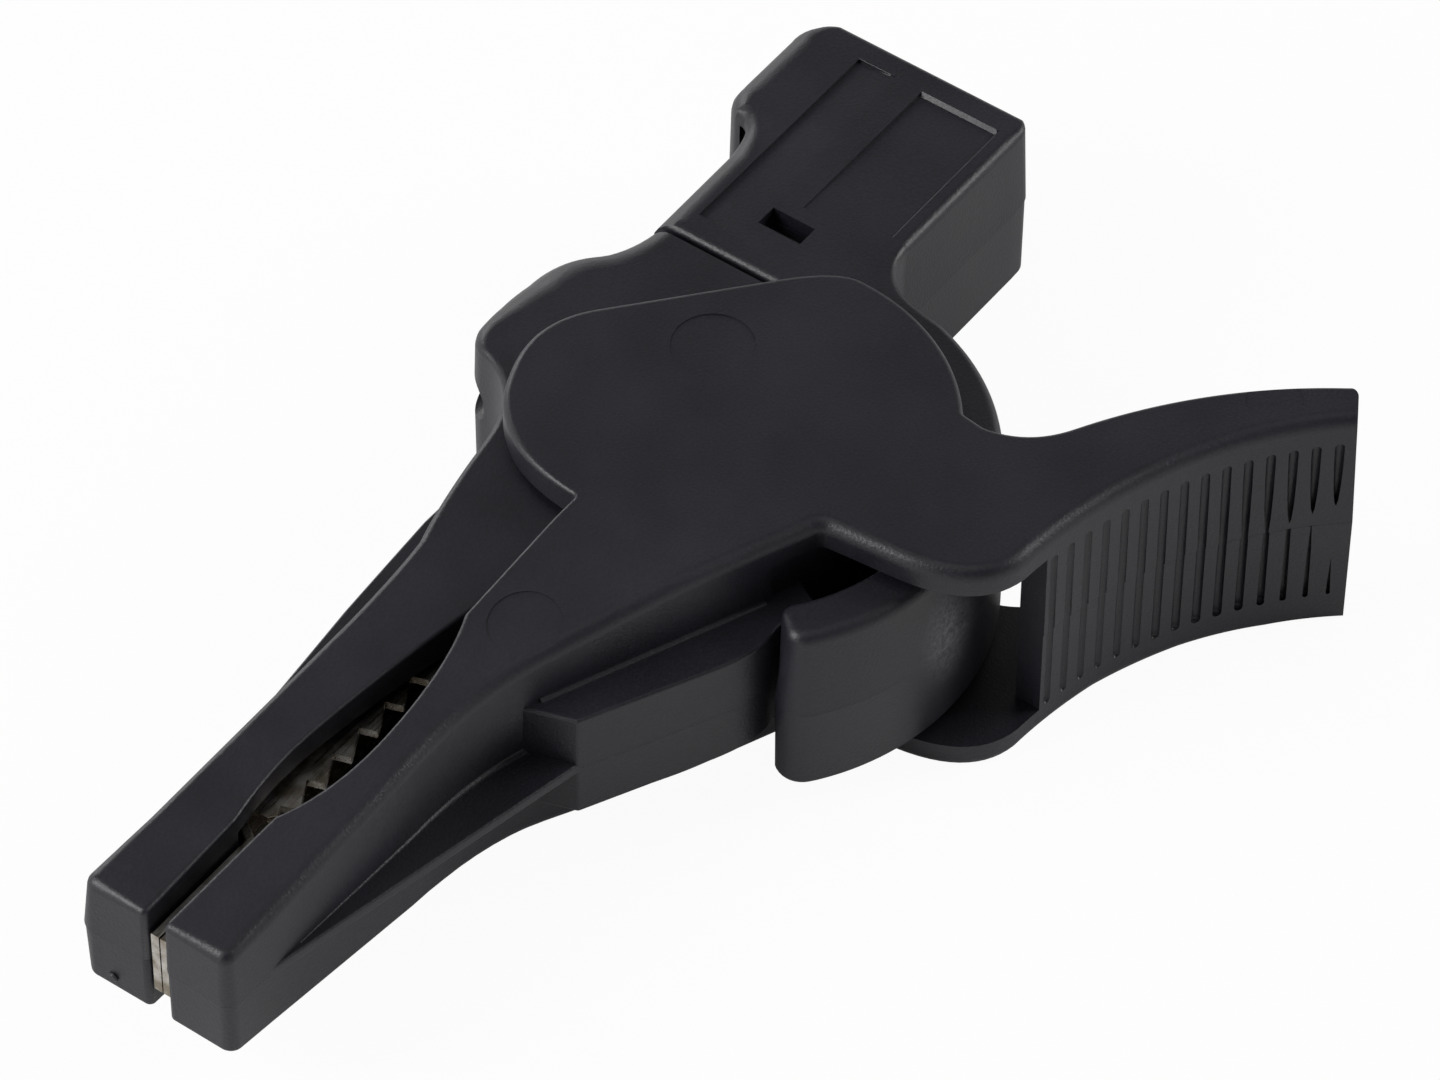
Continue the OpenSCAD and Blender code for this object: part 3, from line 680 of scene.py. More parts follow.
def node_piece(name, tree, values, mesh=None):
    """Object made by a node tree, with the tree's inputs set by identifier, as a plain mesh."""
    piece = bpy.data.objects.new(name, mesh or bpy.data.meshes.new(name))
    modifier = piece.modifiers.new("Nodes", "NODES")
    modifier.node_group = tree
    for item in tree.interface.items_tree:
        if item.item_type == "SOCKET" and item.in_out == "INPUT" and item.name in values:
            modifier[item.identifier] = values[item.name]
    bpy.context.scene.collection.objects.link(piece)
    return bake(piece)


def tree_with(name, sockets):
    """New geometry tree with named inputs and one geometry output."""
    tree = bpy.data.node_groups.new(name, "GeometryNodeTree")
    for label, kind in sockets:
        tree.interface.new_socket(label, in_out="INPUT", socket_type=kind)
    tree.interface.new_socket("Geometry", in_out="OUTPUT", socket_type="NodeSocketGeometry")
    return tree, add(tree, "NodeGroupInput").outputs


def end_tree(tree, given, shape):
    """Ends a geometry tree: instances made real, the material set, and the output."""
    real = add(tree, "GeometryNodeRealizeInstances", {0: shape.outputs[0]})
    dressed = add(tree, "GeometryNodeSetMaterial", {
        "Geometry": real.outputs[0], "Material": given["Material"]})
    add(tree, "NodeGroupOutput", {0: dressed.outputs[0]})
    return tree


def groove_tree():
    """Round-ended grooves side by side along the incoming path, parallel to the pivot."""
    tree, given = tree_with("Grip grooves", [
        ("Path", "NodeSocketGeometry"), ("Count", "NodeSocketInt"), ("Pitch", "NodeSocketFloat"),
        ("Width", "NodeSocketFloat"), ("Length", "NodeSocketFloat"), ("Material", "NodeSocketMaterial")])
    half = add(tree, "ShaderNodeMath", {0: given["Width"], 1: 0.5}, operation="MULTIPLY")
    ball = add(tree, "GeometryNodeMeshUVSphere", {"Segments": 16, "Rings": 9, "Radius": half.outputs[0]})
    place = add(tree, "ShaderNodeSeparateXYZ", {0: add(tree, "GeometryNodeInputPosition").outputs[0]})
    side = add(tree, "ShaderNodeMath", {0: place.outputs["Z"]}, operation="SIGN")
    over = add(tree, "ShaderNodeMath", {0: given["Length"], 1: given["Width"]}, operation="SUBTRACT")
    reach = add(tree, "ShaderNodeMath", {0: over.outputs[0], 1: 0.5}, operation="MULTIPLY")
    push = add(tree, "ShaderNodeMath", {0: side.outputs[0], 1: reach.outputs[0]}, operation="MULTIPLY")
    move = add(tree, "ShaderNodeCombineXYZ", {"Z": push.outputs[0]})
    capsule = add(tree, "GeometryNodeSetPosition", {
        "Geometry": ball.outputs["Mesh"], "Offset": move.outputs[0]})
    path = add(tree, "GeometryNodeMeshToCurve", {"Mesh": given["Path"]})
    index = add(tree, "GeometryNodeInputIndex")
    run = add(tree, "ShaderNodeMath", {0: index.outputs[0], 1: given["Pitch"]}, operation="MULTIPLY")
    spot = add(tree, "GeometryNodeSampleCurve", {"Curves": path.outputs[0], "Length": run.outputs[0]},
               mode="LENGTH", use_all_curves=True)
    points = add(tree, "GeometryNodePoints", {
        "Count": given["Count"], "Position": spot.outputs["Position"]})
    copies = add(tree, "GeometryNodeInstanceOnPoints", {
        "Points": points.outputs[0], "Instance": capsule.outputs[0]})
    return end_tree(tree, given, copies)


def tooth_tree():
    """Row of leaning V-shaped punch tools across a sheet edge, spaced along X."""
    tree, given = tree_with("Tooth gaps", [
        ("Count", "NodeSocketInt"), ("Pitch", "NodeSocketFloat"), ("Start", "NodeSocketVector"),
        ("Width", "NodeSocketFloat"), ("Depth", "NodeSocketFloat"), ("Lean", "NodeSocketFloat"),
        ("Thickness", "NodeSocketFloat"), ("Material", "NodeSocketMaterial")])
    wedge = add(tree, "GeometryNodeMeshCylinder", {
        "Vertices": 4, "Radius": 1.0, "Depth": given["Thickness"]})
    half = add(tree, "ShaderNodeMath", {0: given["Width"], 1: 0.5}, operation="MULTIPLY")
    size = add(tree, "ShaderNodeCombineXYZ", {"X": half.outputs[0], "Y": given["Depth"], "Z": 1.0})
    shaped = add(tree, "GeometryNodeTransform", {
        "Geometry": wedge.outputs["Mesh"], "Scale": size.outputs[0]})
    place = add(tree, "ShaderNodeSeparateXYZ", {0: add(tree, "GeometryNodeInputPosition").outputs[0]})
    reach = add(tree, "ShaderNodeMath", {0: place.outputs["Y"]}, operation="ABSOLUTE")
    share = add(tree, "ShaderNodeMath", {0: reach.outputs[0], 1: given["Depth"]}, operation="DIVIDE")
    lean = add(tree, "ShaderNodeMath", {0: share.outputs[0], 1: given["Lean"]}, operation="MULTIPLY")
    push = add(tree, "ShaderNodeCombineXYZ", {"X": lean.outputs[0]})
    shaped = add(tree, "GeometryNodeSetPosition", {
        "Geometry": shaped.outputs[0], "Offset": push.outputs[0]})
    index = add(tree, "GeometryNodeInputIndex")
    shift = add(tree, "ShaderNodeMath", {0: index.outputs[0], 1: given["Pitch"]}, operation="MULTIPLY")
    back = add(tree, "ShaderNodeMath", {0: shift.outputs[0], 1: -1.0}, operation="MULTIPLY")
    step = add(tree, "ShaderNodeCombineXYZ", {"X": back.outputs[0]})
    spot = add(tree, "ShaderNodeVectorMath", {0: step.outputs[0], 1: given["Start"]}, operation="ADD")
    points = add(tree, "GeometryNodePoints", {"Count": given["Count"], "Position": spot.outputs[0]})
    copies = add(tree, "GeometryNodeInstanceOnPoints", {
        "Points": points.outputs[0], "Instance": shaped.outputs[0]})
    return end_tree(tree, given, copies)


def wire_tree():
    """Round wire that follows the edges of the incoming mesh."""
    tree, given = tree_with("Wire", [
        ("Path", "NodeSocketGeometry"), ("Radius", "NodeSocketFloat"), ("Material", "NodeSocketMaterial")])
    path = add(tree, "GeometryNodeMeshToCurve", {"Mesh": given["Path"]})
    circle = add(tree, "GeometryNodeCurvePrimitiveCircle", {"Resolution": 16, "Radius": given["Radius"]})
    tube = add(tree, "GeometryNodeCurveToMesh", {
        "Curve": path.outputs[0], "Profile Curve": circle.outputs[0], "Fill Caps": True})
    return end_tree(tree, given, tube)


# Pieces


def slope(crease, top, tip):
    """Pairs of x and half height, flat to the crease and then falling to the tip with a soft bend, and the x
    of the lines across that bend."""
    beyond, soft = 20, BEND_SOFTNESS
    fall = (top - tip) / (crease - TIP_X)
    rows = [(TIP_X - beyond, tip - beyond * fall)]
    for i in range(5):
        x = crease - soft + soft * i / 2
        rows.append((x, top - fall * max(0.0, crease + soft - x) ** 2 / (4 * soft)))
    rows.append((FAR_X, top))
    return rows, [r[0] for r in rows[1:-1]]


def lever_outline():
    """Lever seen along the pivot: jaw, flank, heel, arm, round cheek, notch and mouth."""
    grip_start = at(GRIP_RADIUS, 85.6, GRIP_CENTRE)
    neck = (11.75, -17.58)
    chord_angle, chord = 49.2, 10.92
    spread = math.degrees(math.acos(chord / CHEEK_RADIUS))
    low = at(CHEEK_RADIUS, chord_angle - spread)
    high = at(CHEEK_RADIUS, chord_angle + spread)
    brow = (-9.4, 9.95)
    leave = chord_angle - spread - 7
    share = 0.2
    chord_start = tuple(low[k] * (1 - share) + high[k] * share for k in (0, 1))
    return plan(
        [(TIP_X, 0.4, 0.8), (-33, -0.1)]
        + bend((-33, -0.1), (-26.7, 0.05), FLANK_START, 8)
        + [(*HEEL, 0.9), (-3.55, -14.5)]
        + bend((-3.55, -14.5), (-3.1, -20.6), grip_start, 14)
        + arc(GRIP_CENTRE, GRIP_RADIUS, 84.5, GRIP_BREAK, 30)
        + arc(END_CENTRE, END_RADIUS, GRIP_BREAK - 1, 35, 28)
        + [(ARM_IN[0] + 2.4, ARM_IN[1] - 3.2)]
        + bend(ARM_IN, (20.0, -22.15), neck, 24)
        + bend(neck, (8.9, -16.0), (8.5, -13), 12)
        + [(*at(CHEEK_RADIUS, -52.5), 0.5)]
        + arc((0, 0), CHEEK_RADIUS, -50, leave, 28)
        + bend(at(CHEEK_RADIUS, leave), low, chord_start, 10)
        + [(2.5, 12.26)]
        + bend((2.5, 12.26), (-0.45, 14.81), at(CHEEK_RADIUS, 107), 16)
        + arc((0, 0), CHEEK_RADIUS, 108, 118, 6)
        + bend(at(CHEEK_RADIUS, 118), (-8.2, 11.7), brow, 10)
        + bend(brow, (-10.75, 7.98), (-11.05, 4.4), 12)
        + [(-11.05, 3.75, 0.3), (-22, 3.95)]
        + bend((-22, 3.95), (-25.6, 2.5), (-31.5, 2.55), 10)
        + bend((-31.5, 2.55), (-36.6, 2.6), (1 - MOUTH_LIP, TIP_IN_MOVING - 0.8), 10)
        + [(TIP_X, TIP_IN_MOVING, 0.45)])


def flank():
    """Direction along the flank, the step through its wall, and where the full wall ends before the heel."""
    run = HEEL - FLANK_START
    run /= np.linalg.norm(run)
    return run, FLANK_WALL * np.array((-run[1], run[0])), HEEL - WALL_STOP * run


def lever_hollow():
    """Tool for the hollow of the lever, from the channel of its jaw to the end of the thumb arm."""
    _, inward, wall_end = flank()
    outline = plan(
        [(-MOUTH_LIP, JAW_LINE + 3), (-MOUTH_LIP, TIP_IN_MOVING - 0.6), (-MOUTH_FRONT - 0.3, FLOOR_MOVING),
         (-24.5, FLOOR_MOVING), FLANK_START + inward, wall_end + inward, wall_end - inward,
         (-7, -24), (3.0, -24)]
        + arc(GRIP_CENTRE, GRIP_RADIUS + GRIP_WALL, 82.4, GRIP_BREAK, 24)
        + arc(END_CENTRE, END_RADIUS + GRIP_WALL, GRIP_BREAK - 1, 50, 12)
        + [(28, -24), (22, 0), (18, 18), (-12, 18), (-13, JAW_LINE + 3)], longest=UNSPLIT)
    heights = [(TIP_X, TIP_HALF - 1.9), (LEVER_CREASE, CHEEK_FACE), (60, CHEEK_FACE)]
    return slab("hollow", outline, heights, creases=[LEVER_CREASE])


def finger_block(parting):
    """Finger block on the flank, with the ramp that lifts the guard and the tail that the spring pushes."""
    _, inward, wall_end = flank()
    outline = plan(
        [(-23.5, -1.5), (-22.4, -4.8, 0.25), (-14, -9.05)]
        + bend((-14, -9.05), (-11.2, -10.45), (-9.6, -10.15), 12)
        + bend((-9.6, -10.15), (-8.4, -9.95), at(TAIL_OUT, TAIL_ANGLE - 5), 8)
        + [at(TAIL_OUT, TAIL_ANGLE), at(TAIL_IN, TAIL_ANGLE), wall_end + 0.9 * inward,
           FLANK_START + 0.5 * inward])
    # Each row: x, y and the draft in degrees.
    drafts, = along(outline, [
        (-23.5, -1.5, 2.6), (-18, -6.9, 3.2), (-14, -9.05, 2.8), (-11.5, -10.1, 1.8), (-9.6, -10.15, 0.2),
        (*at(TAIL_OUT, TAIL_ANGLE), 0), (-18, -1.5, 0)])
    return slab("finger_block", outline, BLOCK_HALF, 0.22, drafts, parting=parting, keep=LOWER_KEEP)


def flank_coves(outline):
    """Hollow fillets at the foot of the flank, on the block and on the fin, above and below."""
    run, _, wall_end = flank()
    clear = 0.18 * np.array((run[1], -run[0]))
    foot = [FLANK_START + t * (wall_end - FLANK_START) + clear for t in np.linspace(-0.02, 0.97, 8)]
    near = outline[(outline[:, 1] < 1) & (outline[:, 0] < -20)]
    near = near[np.argsort(near[:, 0])]
    ledge = [(x, np.interp(x, near[:, 0], near[:, 1]) - 0.2) for x in np.linspace(-43.5, -22.3, 24)]
    growing = np.linspace(0.06, 0.5, len(ledge))
    return [cove("cove", path, side * level, size)
            for path, level, size in ((foot, BLOCK_HALF, 0.3), (ledge, FIN_HALF, growing))
            for side in (1, -1)]


def wall_ribs():
    """Ribs that carry the flank's wall on under the cheeks and leave room for the spring's leg."""
    run, inward, wall_end = flank()
    start, stop = wall_end - 0.5 * run, HEEL + 2.2 * run
    outline = plan([start + 0.1 * inward, stop + 0.1 * inward, stop + 0.9 * inward, start + 0.9 * inward])
    return [slab("wall_rib", outline, half, level=level)
            for half, level in ((2.55, 4.65), (2.55, -4.65), (0.8, 0.0))]


def grip_grooves(sizes):
    """Tool for the row of grooves across the thumb rest."""
    above = 0.1
    rest = (arc(GRIP_CENTRE, GRIP_RADIUS - above, 81.2, GRIP_BREAK, 40)
            + arc(END_CENTRE, END_RADIUS - above, GRIP_BREAK - 0.5, 40, 40))
    path = line_mesh("thumb_rest_line", [(x, y, 0.0) for x, y in rest])
    return node_piece("grip_grooves", groove_tree(), {
        "Count": sizes.groove_count, "Pitch": sizes.groove_pitch, "Width": sizes.groove_width,
        "Length": sizes.groove_length}, path)


def arm_stop():
    """Tool that ends the thumb arm in a drafted face with a round inner corner."""
    end = ARM_IN - ARM_OUT
    end /= np.linalg.norm(end)
    x, y = ARM_IN
    outline = plan([ARM_OUT - 4 * end, (x, y, 0.8), (x - 1.4, y + 1.98), (x, y + 3), (33, -30), (28, -40)],
                   longest=UNSPLIT)
    return slab("arm_stop", outline, MID + 1, LEAST_RIM, -1.6, keep=0.9)


def build_lever(sizes, finish):
    """Lever moulding with its hollow, finger block, fin and grooved thumb wall."""
    outline = lever_outline()
    # Each row: x, y, rim radius, draft in degrees, and the lower rim as a share of the upper one.
    rims, drafts, low = along(outline, [
        (TIP_X, 1.2, 0.7, 2, 0.5), (TIP_X + 0.8, 0.4, 0.72, 2, 0.5), (-46, 0.3, 0.9, 2.2, 0.5),
        (-30, -0.2, 0.95, 2.2, 0.6), (-24, -1.1, 0.95, 2.0, 1), (-12, -6.3, 0.95, 2.2, 1),
        (-4, -9.7, 0.95, 1.7, 0.8), (-3.5, -14.5, 0.95, 1.4, 0.7), (1, -21.3, 0.95, 0.5, 0.9),
        (8, -22.3, 0.95, 0, 1.1), (14, -24.6, 0.95, 0.9, 0.8), (19, -27.8, 0.95, 2.7, 0.3),
        (24.0, -33.0, 0.95, 3.7, 0.15), (26.8, -32.4, 0.4, 1, 1), (25, -29.7, 0.32, 1.2, 1),
        (11.5, -17.9, 0.34, 0.9, 1), (8.5, -12.4, 0.4, 0.5, 1), (14.3, 0, 0.45, 0.8, 1),
        (0, 14.3, 0.5, 0.8, 1), (-9.4, 9.95, 0.5, 0.6, 1), (-11.1, 3.8, 0.28, 0.3, 1),
        (-22, 3.95, 0.28, 0.5, 1), (-31.5, 2.55, 0.28, 0.5, 1), (-42, 4.4, 0.3, 0.6, 1),
        (TIP_X, TIP_IN_MOVING, 0.42, 1, 0.6)])
    heights, creases = slope(LEVER_BEND, MID, TIP_HALF)
    parting = sizes.parting_step / MM
    lever = slab("lever_moulding", outline, heights, rims, drafts, creases, parting=parting, low=low,
                 keep=LOWER_KEEP)
    fin = slab("fin", plan([(-47.2, 0.35), (-22.3, -5.0), (-21, -1.5), (-30, 0.8), (-46, 1.2)]),
               FIN_HALF, FIN_RIM)
    # Each mark: centre, radius and depth.
    marks = [ejector_mark("ejector_mark", *mark, heights) for mark in (
        ((4.12, 4.47), 2.7, 0.05), ((-20.58, 0.45), 2.35, 0.05), ((21.0, -26.26), 1.8, 0.03))]
    seats = [rod("pin_seat", *ends, PIN_RADIUS + TURNING_FIT, "Z") for ends in ((6.65, 8.1), (-8.1, -6.65))]
    carve(lever, cut(arm_stop(), lever_hollow()),
          join(finger_block(parting), fin, *flank_coves(outline), *wall_ribs()),
          cut(*seats, grip_grooves(sizes), *marks))
    dress(lever, moulded_polyamide(finish))
    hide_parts("lever")
    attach(lever, "lever_arm")


def body_outline():
    """Fixed front moulding seen along the pivot: mouth, hub, seam, shoulder and far side."""
    lip, high = (-MOUTH_LIP, TIP_IN_FIXED), HANDLE_HIGH - 0.2
    return plan(
        [(TIP_X, TIP_IN_FIXED, 0.45), lip]
        + bend(lip, (4 - MOUTH_LIP, 7.3), (-33.5, 6.95), 10)
        + bend((-33.5, 6.95), (-27, 6.3), (-20, 4.8), 10)
        + [(-12.2, 4.4)]
        + arc((0, 0), HUB_RADIUS, 172, 300, 48)
        + [(SEAM - 0.8, HANDLE_LOW), (SEAM + 3, HANDLE_LOW), (SEAM + 3, high - 0.1), (SEAM, high)]
        + bend((SEAM, high), (10.2, 15.9), (8.9, 17.45), 8)
        + bend((8.9, 17.45), (7.2, 19.3), (4.3, 19.5), 10)
        + bend((4.3, 19.5), (1.9, 19.65), (-0.2, 19.15), 8)
        + bend((-0.2, 19.15), (-2.5, 18.7), (-2.9, 17.2), 10)
        + bend((-2.9, 17.2), (-4.0, 13.1), (-9.3, 12.5), 16)
        + bend((-9.3, 12.5), (-14.5, 11.8), (-17.5, 10.9), 10)
        + bend((-17.5, 10.9), (-20, 10.6), (-25, 10.6), 8)
        + [(TIP_X + 6, 11.05), (TIP_X, 11.4, 0.8)])


def build_front_body(sizes, finish):
    """Fixed front moulding with the far jaw, its thin far rib, the shoulder and the collar."""
    outline = body_outline()
    # Each row: x, y, rim radius and draft in degrees.
    rims, drafts = along(outline, [
        (TIP_X, TIP_IN_FIXED, 0.4, 1), (-42, 6.4, 0.25, 0.5), (-20, 4.8, 0.25, 0.5), (-12.2, 4.4, 0.2, 0.3),
        (0, -8.3, 0.2, 0), (SEAM + 3, 2, 0.1, 0), (SEAM + 3, 14, 0.3, 1), (SEAM + 1, 15.3, 1.6, 1.5),
        (9.6, 16.6, 2.5, 2.2), (4.3, 19.5, 3.0, 2.2), (1.2, 19.5, 2.3, 2.2), (-1.0, 18.95, 1.2, 2),
        (-2.6, 18.0, 0.7, 1.6), (-2.9, 17.1, 0.45, 1.5), (-4, 14.8, 0.42, 1.5), (-9.3, 12.5, 0.5, 2),
        (-25, 10.6, 0.55, 2.2), (-46, 11.1, 0.6, 3.2), (TIP_X + 0.8, 11.4, 0.72, 7.5),
        (TIP_X, 10.6, 0.7, 2.5)])
    # The lower half keeps less of its width at the outer corner of the tip.
    keep, = along(outline, [
        (-42, 11, LOWER_KEEP), (TIP_X + 1, 11.4, 0.5), (TIP_X, 10.4, LOWER_KEEP), (0, -8.3, LOWER_KEEP)])
    heights, creases = slope(BODY_BEND, BODY_HALF, TIP_HALF)
    body = slab("front_moulding", outline, heights, rims, drafts, creases, parting=sizes.parting_step / MM,
                low=0.6, keep=keep)
    rear_cut = block("seam_cut", (SEAM, -5, -9), (SEAM + 8, 25, 9))
    room = slab("hub_room", plan(
        arc((0, 0), HUB_RADIUS + 0.2, 175, 325, 48)
        + [(WALL_REAR, HANDLE_AXIS - 5), (WALL_REAR, FLOOR_FIXED + 0.9), (-9, FLOOR_FIXED + 0.9),
           (-12, FLOOR_FIXED - 0.4), (-12, 3), (-9, 1.5)], longest=UNSPLIT), CAVITY_HALF)
    channel = slab("channel", plan(
        [(-MOUTH_LIP, TIP_IN_FIXED + 0.6), (-MOUTH_LIP, 2), (-8, 2), (-8, FLOOR_FIXED),
         (-MOUTH_FRONT - 0.3, FLOOR_FIXED)], longest=UNSPLIT), FIXED_HEIGHT / 2 + 0.1)
    pocket = rod("rivet_pocket", FLOOR_FIXED - 0.1, FLOOR_FIXED + 0.7, 1.5, "Y", (RIVET_FRONT, 0))
    collar = block("collar", (SEAM - 1, HANDLE_AXIS - COLLAR_HALF_Y, -COLLAR_HALF_Z),
                   (COLLAR_REAR, HANDLE_AXIS + COLLAR_HALF_Y, COLLAR_HALF_Z))
    nibs = [block("latch_nib", (16.55, 6.85, low), (17.0, 9.75, low + 0.6))
            for low in (COLLAR_HALF_Z - 0.35, -COLLAR_HALF_Z - 0.25)]
    wells = [block("latch_well", (17.05, 6.75, low), (18.05, 9.85, low + 1.0))
             for low in (COLLAR_HALF_Z - 0.7, -COLLAR_HALF_Z - 0.3)]
    post = rod("spring_post", -CAVITY_HALF - 0.5, CAVITY_HALF + 0.5, SPRING_POST_RADIUS, "Z", SPRING_POST)
    rib = slab("far_rib", plan(
        [(-49.5, 10.6), (-24, 10), (-8, 12), (-3, 14.6), (-3.2, 14.9), (-8.5, 14.75), (-12.2, 14.8),
         (-16.7, 14.5), (-21, 14.2), (-25.5, 13.75), (-31.7, 13.15), (-49.5, 11.55)]), FIN_HALF, FIN_RIM)
    socket = (HANDLE_AXIS, 0)
    bores = [rod("shroud_bore", SEAM, 33, SHROUD_RADIUS, "X", socket),
             rod("post_bore", WALL_REAR - 0.5, WALL_REAR + 3.5, POST_RADIUS + PRESS_FIT, "X", socket),
             rod("flange_pocket", WALL_REAR - 1, WALL_REAR, FLANGE_RADIUS + PRESS_FIT, "X", socket),
             rod("pin_bore", -12, 12, PIN_RADIUS + PRESS_FIT, "Z"),
             rod("shoulder_hole", -6, 1.5, 1.75, "X", (18.75, 1.2))]
    gate_end = TIP_X - 0.29
    gate = lathe("gate_mark", [(TIP_X + 0.4, 0.0), (TIP_X + 0.4, 0.34), (TIP_X - 0.2, 0.34), (gate_end, 0.24),
                               (gate_end, 0.0)], (9.35, -3.3), 24)
    carve(body, cut(rear_cut, room, channel, pocket), join(collar, *nibs), cut(*wells), join(post, rib, gate),
          cut(*bores))
    dress(body, moulded_polyamide(finish))
    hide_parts("front_body")
    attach(body, "body")


def handle_outline():
    """Rear handle with its hook seen along the pivot, run forward past its front face."""
    high, hook = HANDLE_HIGH, 18.65
    front = HANDLE_FRONT - 3
    return plan(
        [(front, HANDLE_LOW), (HANDLE_REAR, HANDLE_LOW, 1.2), (HANDLE_REAR, hook, 2.6), (26.75, hook)]
        + bend((26.75, hook), (24.85, hook), (23.95, 17.15), 10)
        + [(23.9, 16.5)]
        + bend((23.9, 16.5), (23.45, high), (21.7, high), 8)
        + [(front, high)])


def guard_outline():
    """Guard tongue and the hollow web that joins it to the handle."""
    root = (16.45, -3.0)
    return plan(
        [(*at(GUARD_INNER, 228.4), 0.85), (*at(GUARD_OUTER, 228.4), 1.15)]
        + arc((0, 0), GUARD_OUTER, 234, 344, 70)
        + bend(root, (16.9, 0.95), (20.5, HANDLE_LOW), 14)
        + [(21.5, 3), (HANDLE_FRONT, 3), (HANDLE_FRONT, -2.3)]
        + arc((0, 0), GUARD_INNER, 347.5, 234, 70))


def guard_tool(parting):
    """Guard tongue with its web, as a solid to join to the handle."""
    outline = guard_outline()
    # Each row: x, y, rim radius and draft in degrees.
    rims, drafts = along(outline, [
        (*at(14.4, 228.7), 0.45, 1.5), (*at(15.6, 228.4), 0.75, 6), (*at(GUARD_OUTER, 240), 0.8, 6),
        (*at(GUARD_OUTER, 275), 0.8, 5), (*at(GUARD_OUTER, 335), 0.55, 1.2), (17.5, -0.6, 0.5, 1.5),
        (20.4, 1.05, 0.5, 2.2), (21.5, 3, 0.05, 0), (15, 3, 0.05, 0), (12.9, 2.8, 0.05, 0),
        (12.9, -2, 0.3, 0), (13.4, -3.2, 0.3, 0.3), (*at(GUARD_INNER, 300), 0.4, 0.3),
        (*at(GUARD_INNER, 240), 0.45, 0.3)])
    return slab("guard", outline, BODY_HALF, rims, drafts, parting=parting, keep=0.95, low=0.35)


def panel_cuts(deep):
    """Tools for the bare panels of the handle: floors that slope, sharp ends and one fine lip."""
    front, rear, low, middle, far, high = 19.25, 32.1, 2.4, 8.4, 10.3, 13.4
    shallow, lip, bite = 0.06, 0.12, 0.12
    tools = []
    for side in (1, -1):
        top = side * BODY_HALF
        above = top + side
        end = top + side * 0.2
        tools += [
            prism("near_panel", [(front, top - side * shallow), (rear, top - side * deep),
                                 (rear + 1, top + side * (1 - deep)), (front, above)], low, middle),
            rod("panel_lip", 20.5, 32.35, lip, "X", (low, top + side * 0.02), 12),
            prism("far_panel", [(far, top), (high, top - side * deep), (high, above), (far, above)],
                  14.8, 32.4, "X"),
            prism("panel_end", [(32.3, top - side * bite), (32.62, end), (32.3, end)], 10.9, high)]
    return tools


def build_handle(sizes, finish):
    """Rear handle and guard tongue, built as one rigid moulding; in the real clip the tongue flexes at its
    root.
    """
    parting = sizes.parting_step / MM
    outline = handle_outline()
    # Each row: x, y, rim radius and draft in degrees.
    rims, drafts = along(outline, [
        (10, 1.05, 0.65, 3.2), (32.6, 1.05, 0.65, 3.2), (34.3, 2.8, 0.05, 0.8), (34.3, 15.5, 0.05, 0.8),
        (33.7, 17.7, 1.3, 1.2), (31.5, 18.65, 2.0, 1.5), (26.4, 18.65, 2.0, 1.5), (24.4, 18.2, 1.4, 1),
        (23.6, 17.1, 0.9, 0.5), (23.4, 16.2, 0.8, 0.5), (22.6, 15.7, 1.2, 0.8), (21, 15.55, 1.8, 1.5),
        (10.5, 15.55, 2.0, 1.5), (9.9, 12, 0.05, 0), (9.9, 2, 0.05, 0)])
    handle = slab("handle_and_guard", outline, BODY_HALF, rims, drafts, parting=parting, low=0.5,
                  keep=LOWER_KEEP)
    ends = prism("handle_ends", plan([
        (HANDLE_FRONT, -BODY_HALF, 0.6), (HANDLE_REAR, -BODY_HALF, 0.45), (HANDLE_REAR, BODY_HALF, 0.5),
        (HANDLE_FRONT, BODY_HALF, 0.6)], longest=UNSPLIT), -5, 25)
    room_y, room_z = 6.25, 5.45
    cavity = block("collar_room", (12.7, HANDLE_AXIS - room_y, -room_z), (20.1, HANDLE_AXIS + room_y, room_z))
    bore = rod("shroud_bore", 12, 36, SHROUD_RADIUS, "X", (HANDLE_AXIS, 0), 64)
    window = block("latch_window", (16.475, 6.675, -9), (18.125, 9.925, 9))
    slot = block("hook_slot", (23.2, 16.0, -5.1), (27.3, 16.8, 5.1))
    carve(handle, [("INTERSECT", ends)], join(guard_tool(parting)),
          cut(cavity, bore, window, *panel_cuts(sizes.panel_depth / MM), slot))
    dress(handle, moulded_polyamide(finish))
    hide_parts("rear_handle", "guard_tongue")
    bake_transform(handle)


def flange_edges(height, tips, mirrored):
    """Side views of a contact's flanges before the teeth are punched, each with its height, and of a joggle.

    The flanges of the mirrored contact step inward in front of the ears, so its teeth stand close to the
    middle, and the joggle closes that step. The other contact has none.
    """
    root = tips - TOOTH_DEPTH
    first, last = -MOUTH_BACK, -MOUTH_FRONT
    inset = TOOTH_PITCH / 2 - 0.06
    toothed = [(first, root), (first - inset, tips), (last + inset, tips), (last, root)]
    if not mirrored:
        ear = [(first - 1, FLOOR_MOVING), (-2, -2.4), (-2, 2.4)]
        return [(height, [(last, FLOOR_MOVING)] + ear + toothed)], []
    step, axis = first + 0.4, 2 * JAW_LINE
    behind = step + SHEET
    ear = [(step, FLOOR_MOVING), (-10.6, FLOOR_MOVING), (0.5, axis - 2.4), (-2, axis + 1.8), (step, root)]
    front = [(last, FLOOR_MOVING), (behind, FLOOR_MOVING), (behind, root)]
    joggle = [(step, FLOOR_MOVING), (behind, FLOOR_MOVING), (behind, root), (step, root)]
    return [(height, ear), (TOOTHED_HEIGHT, front + toothed)], joggle


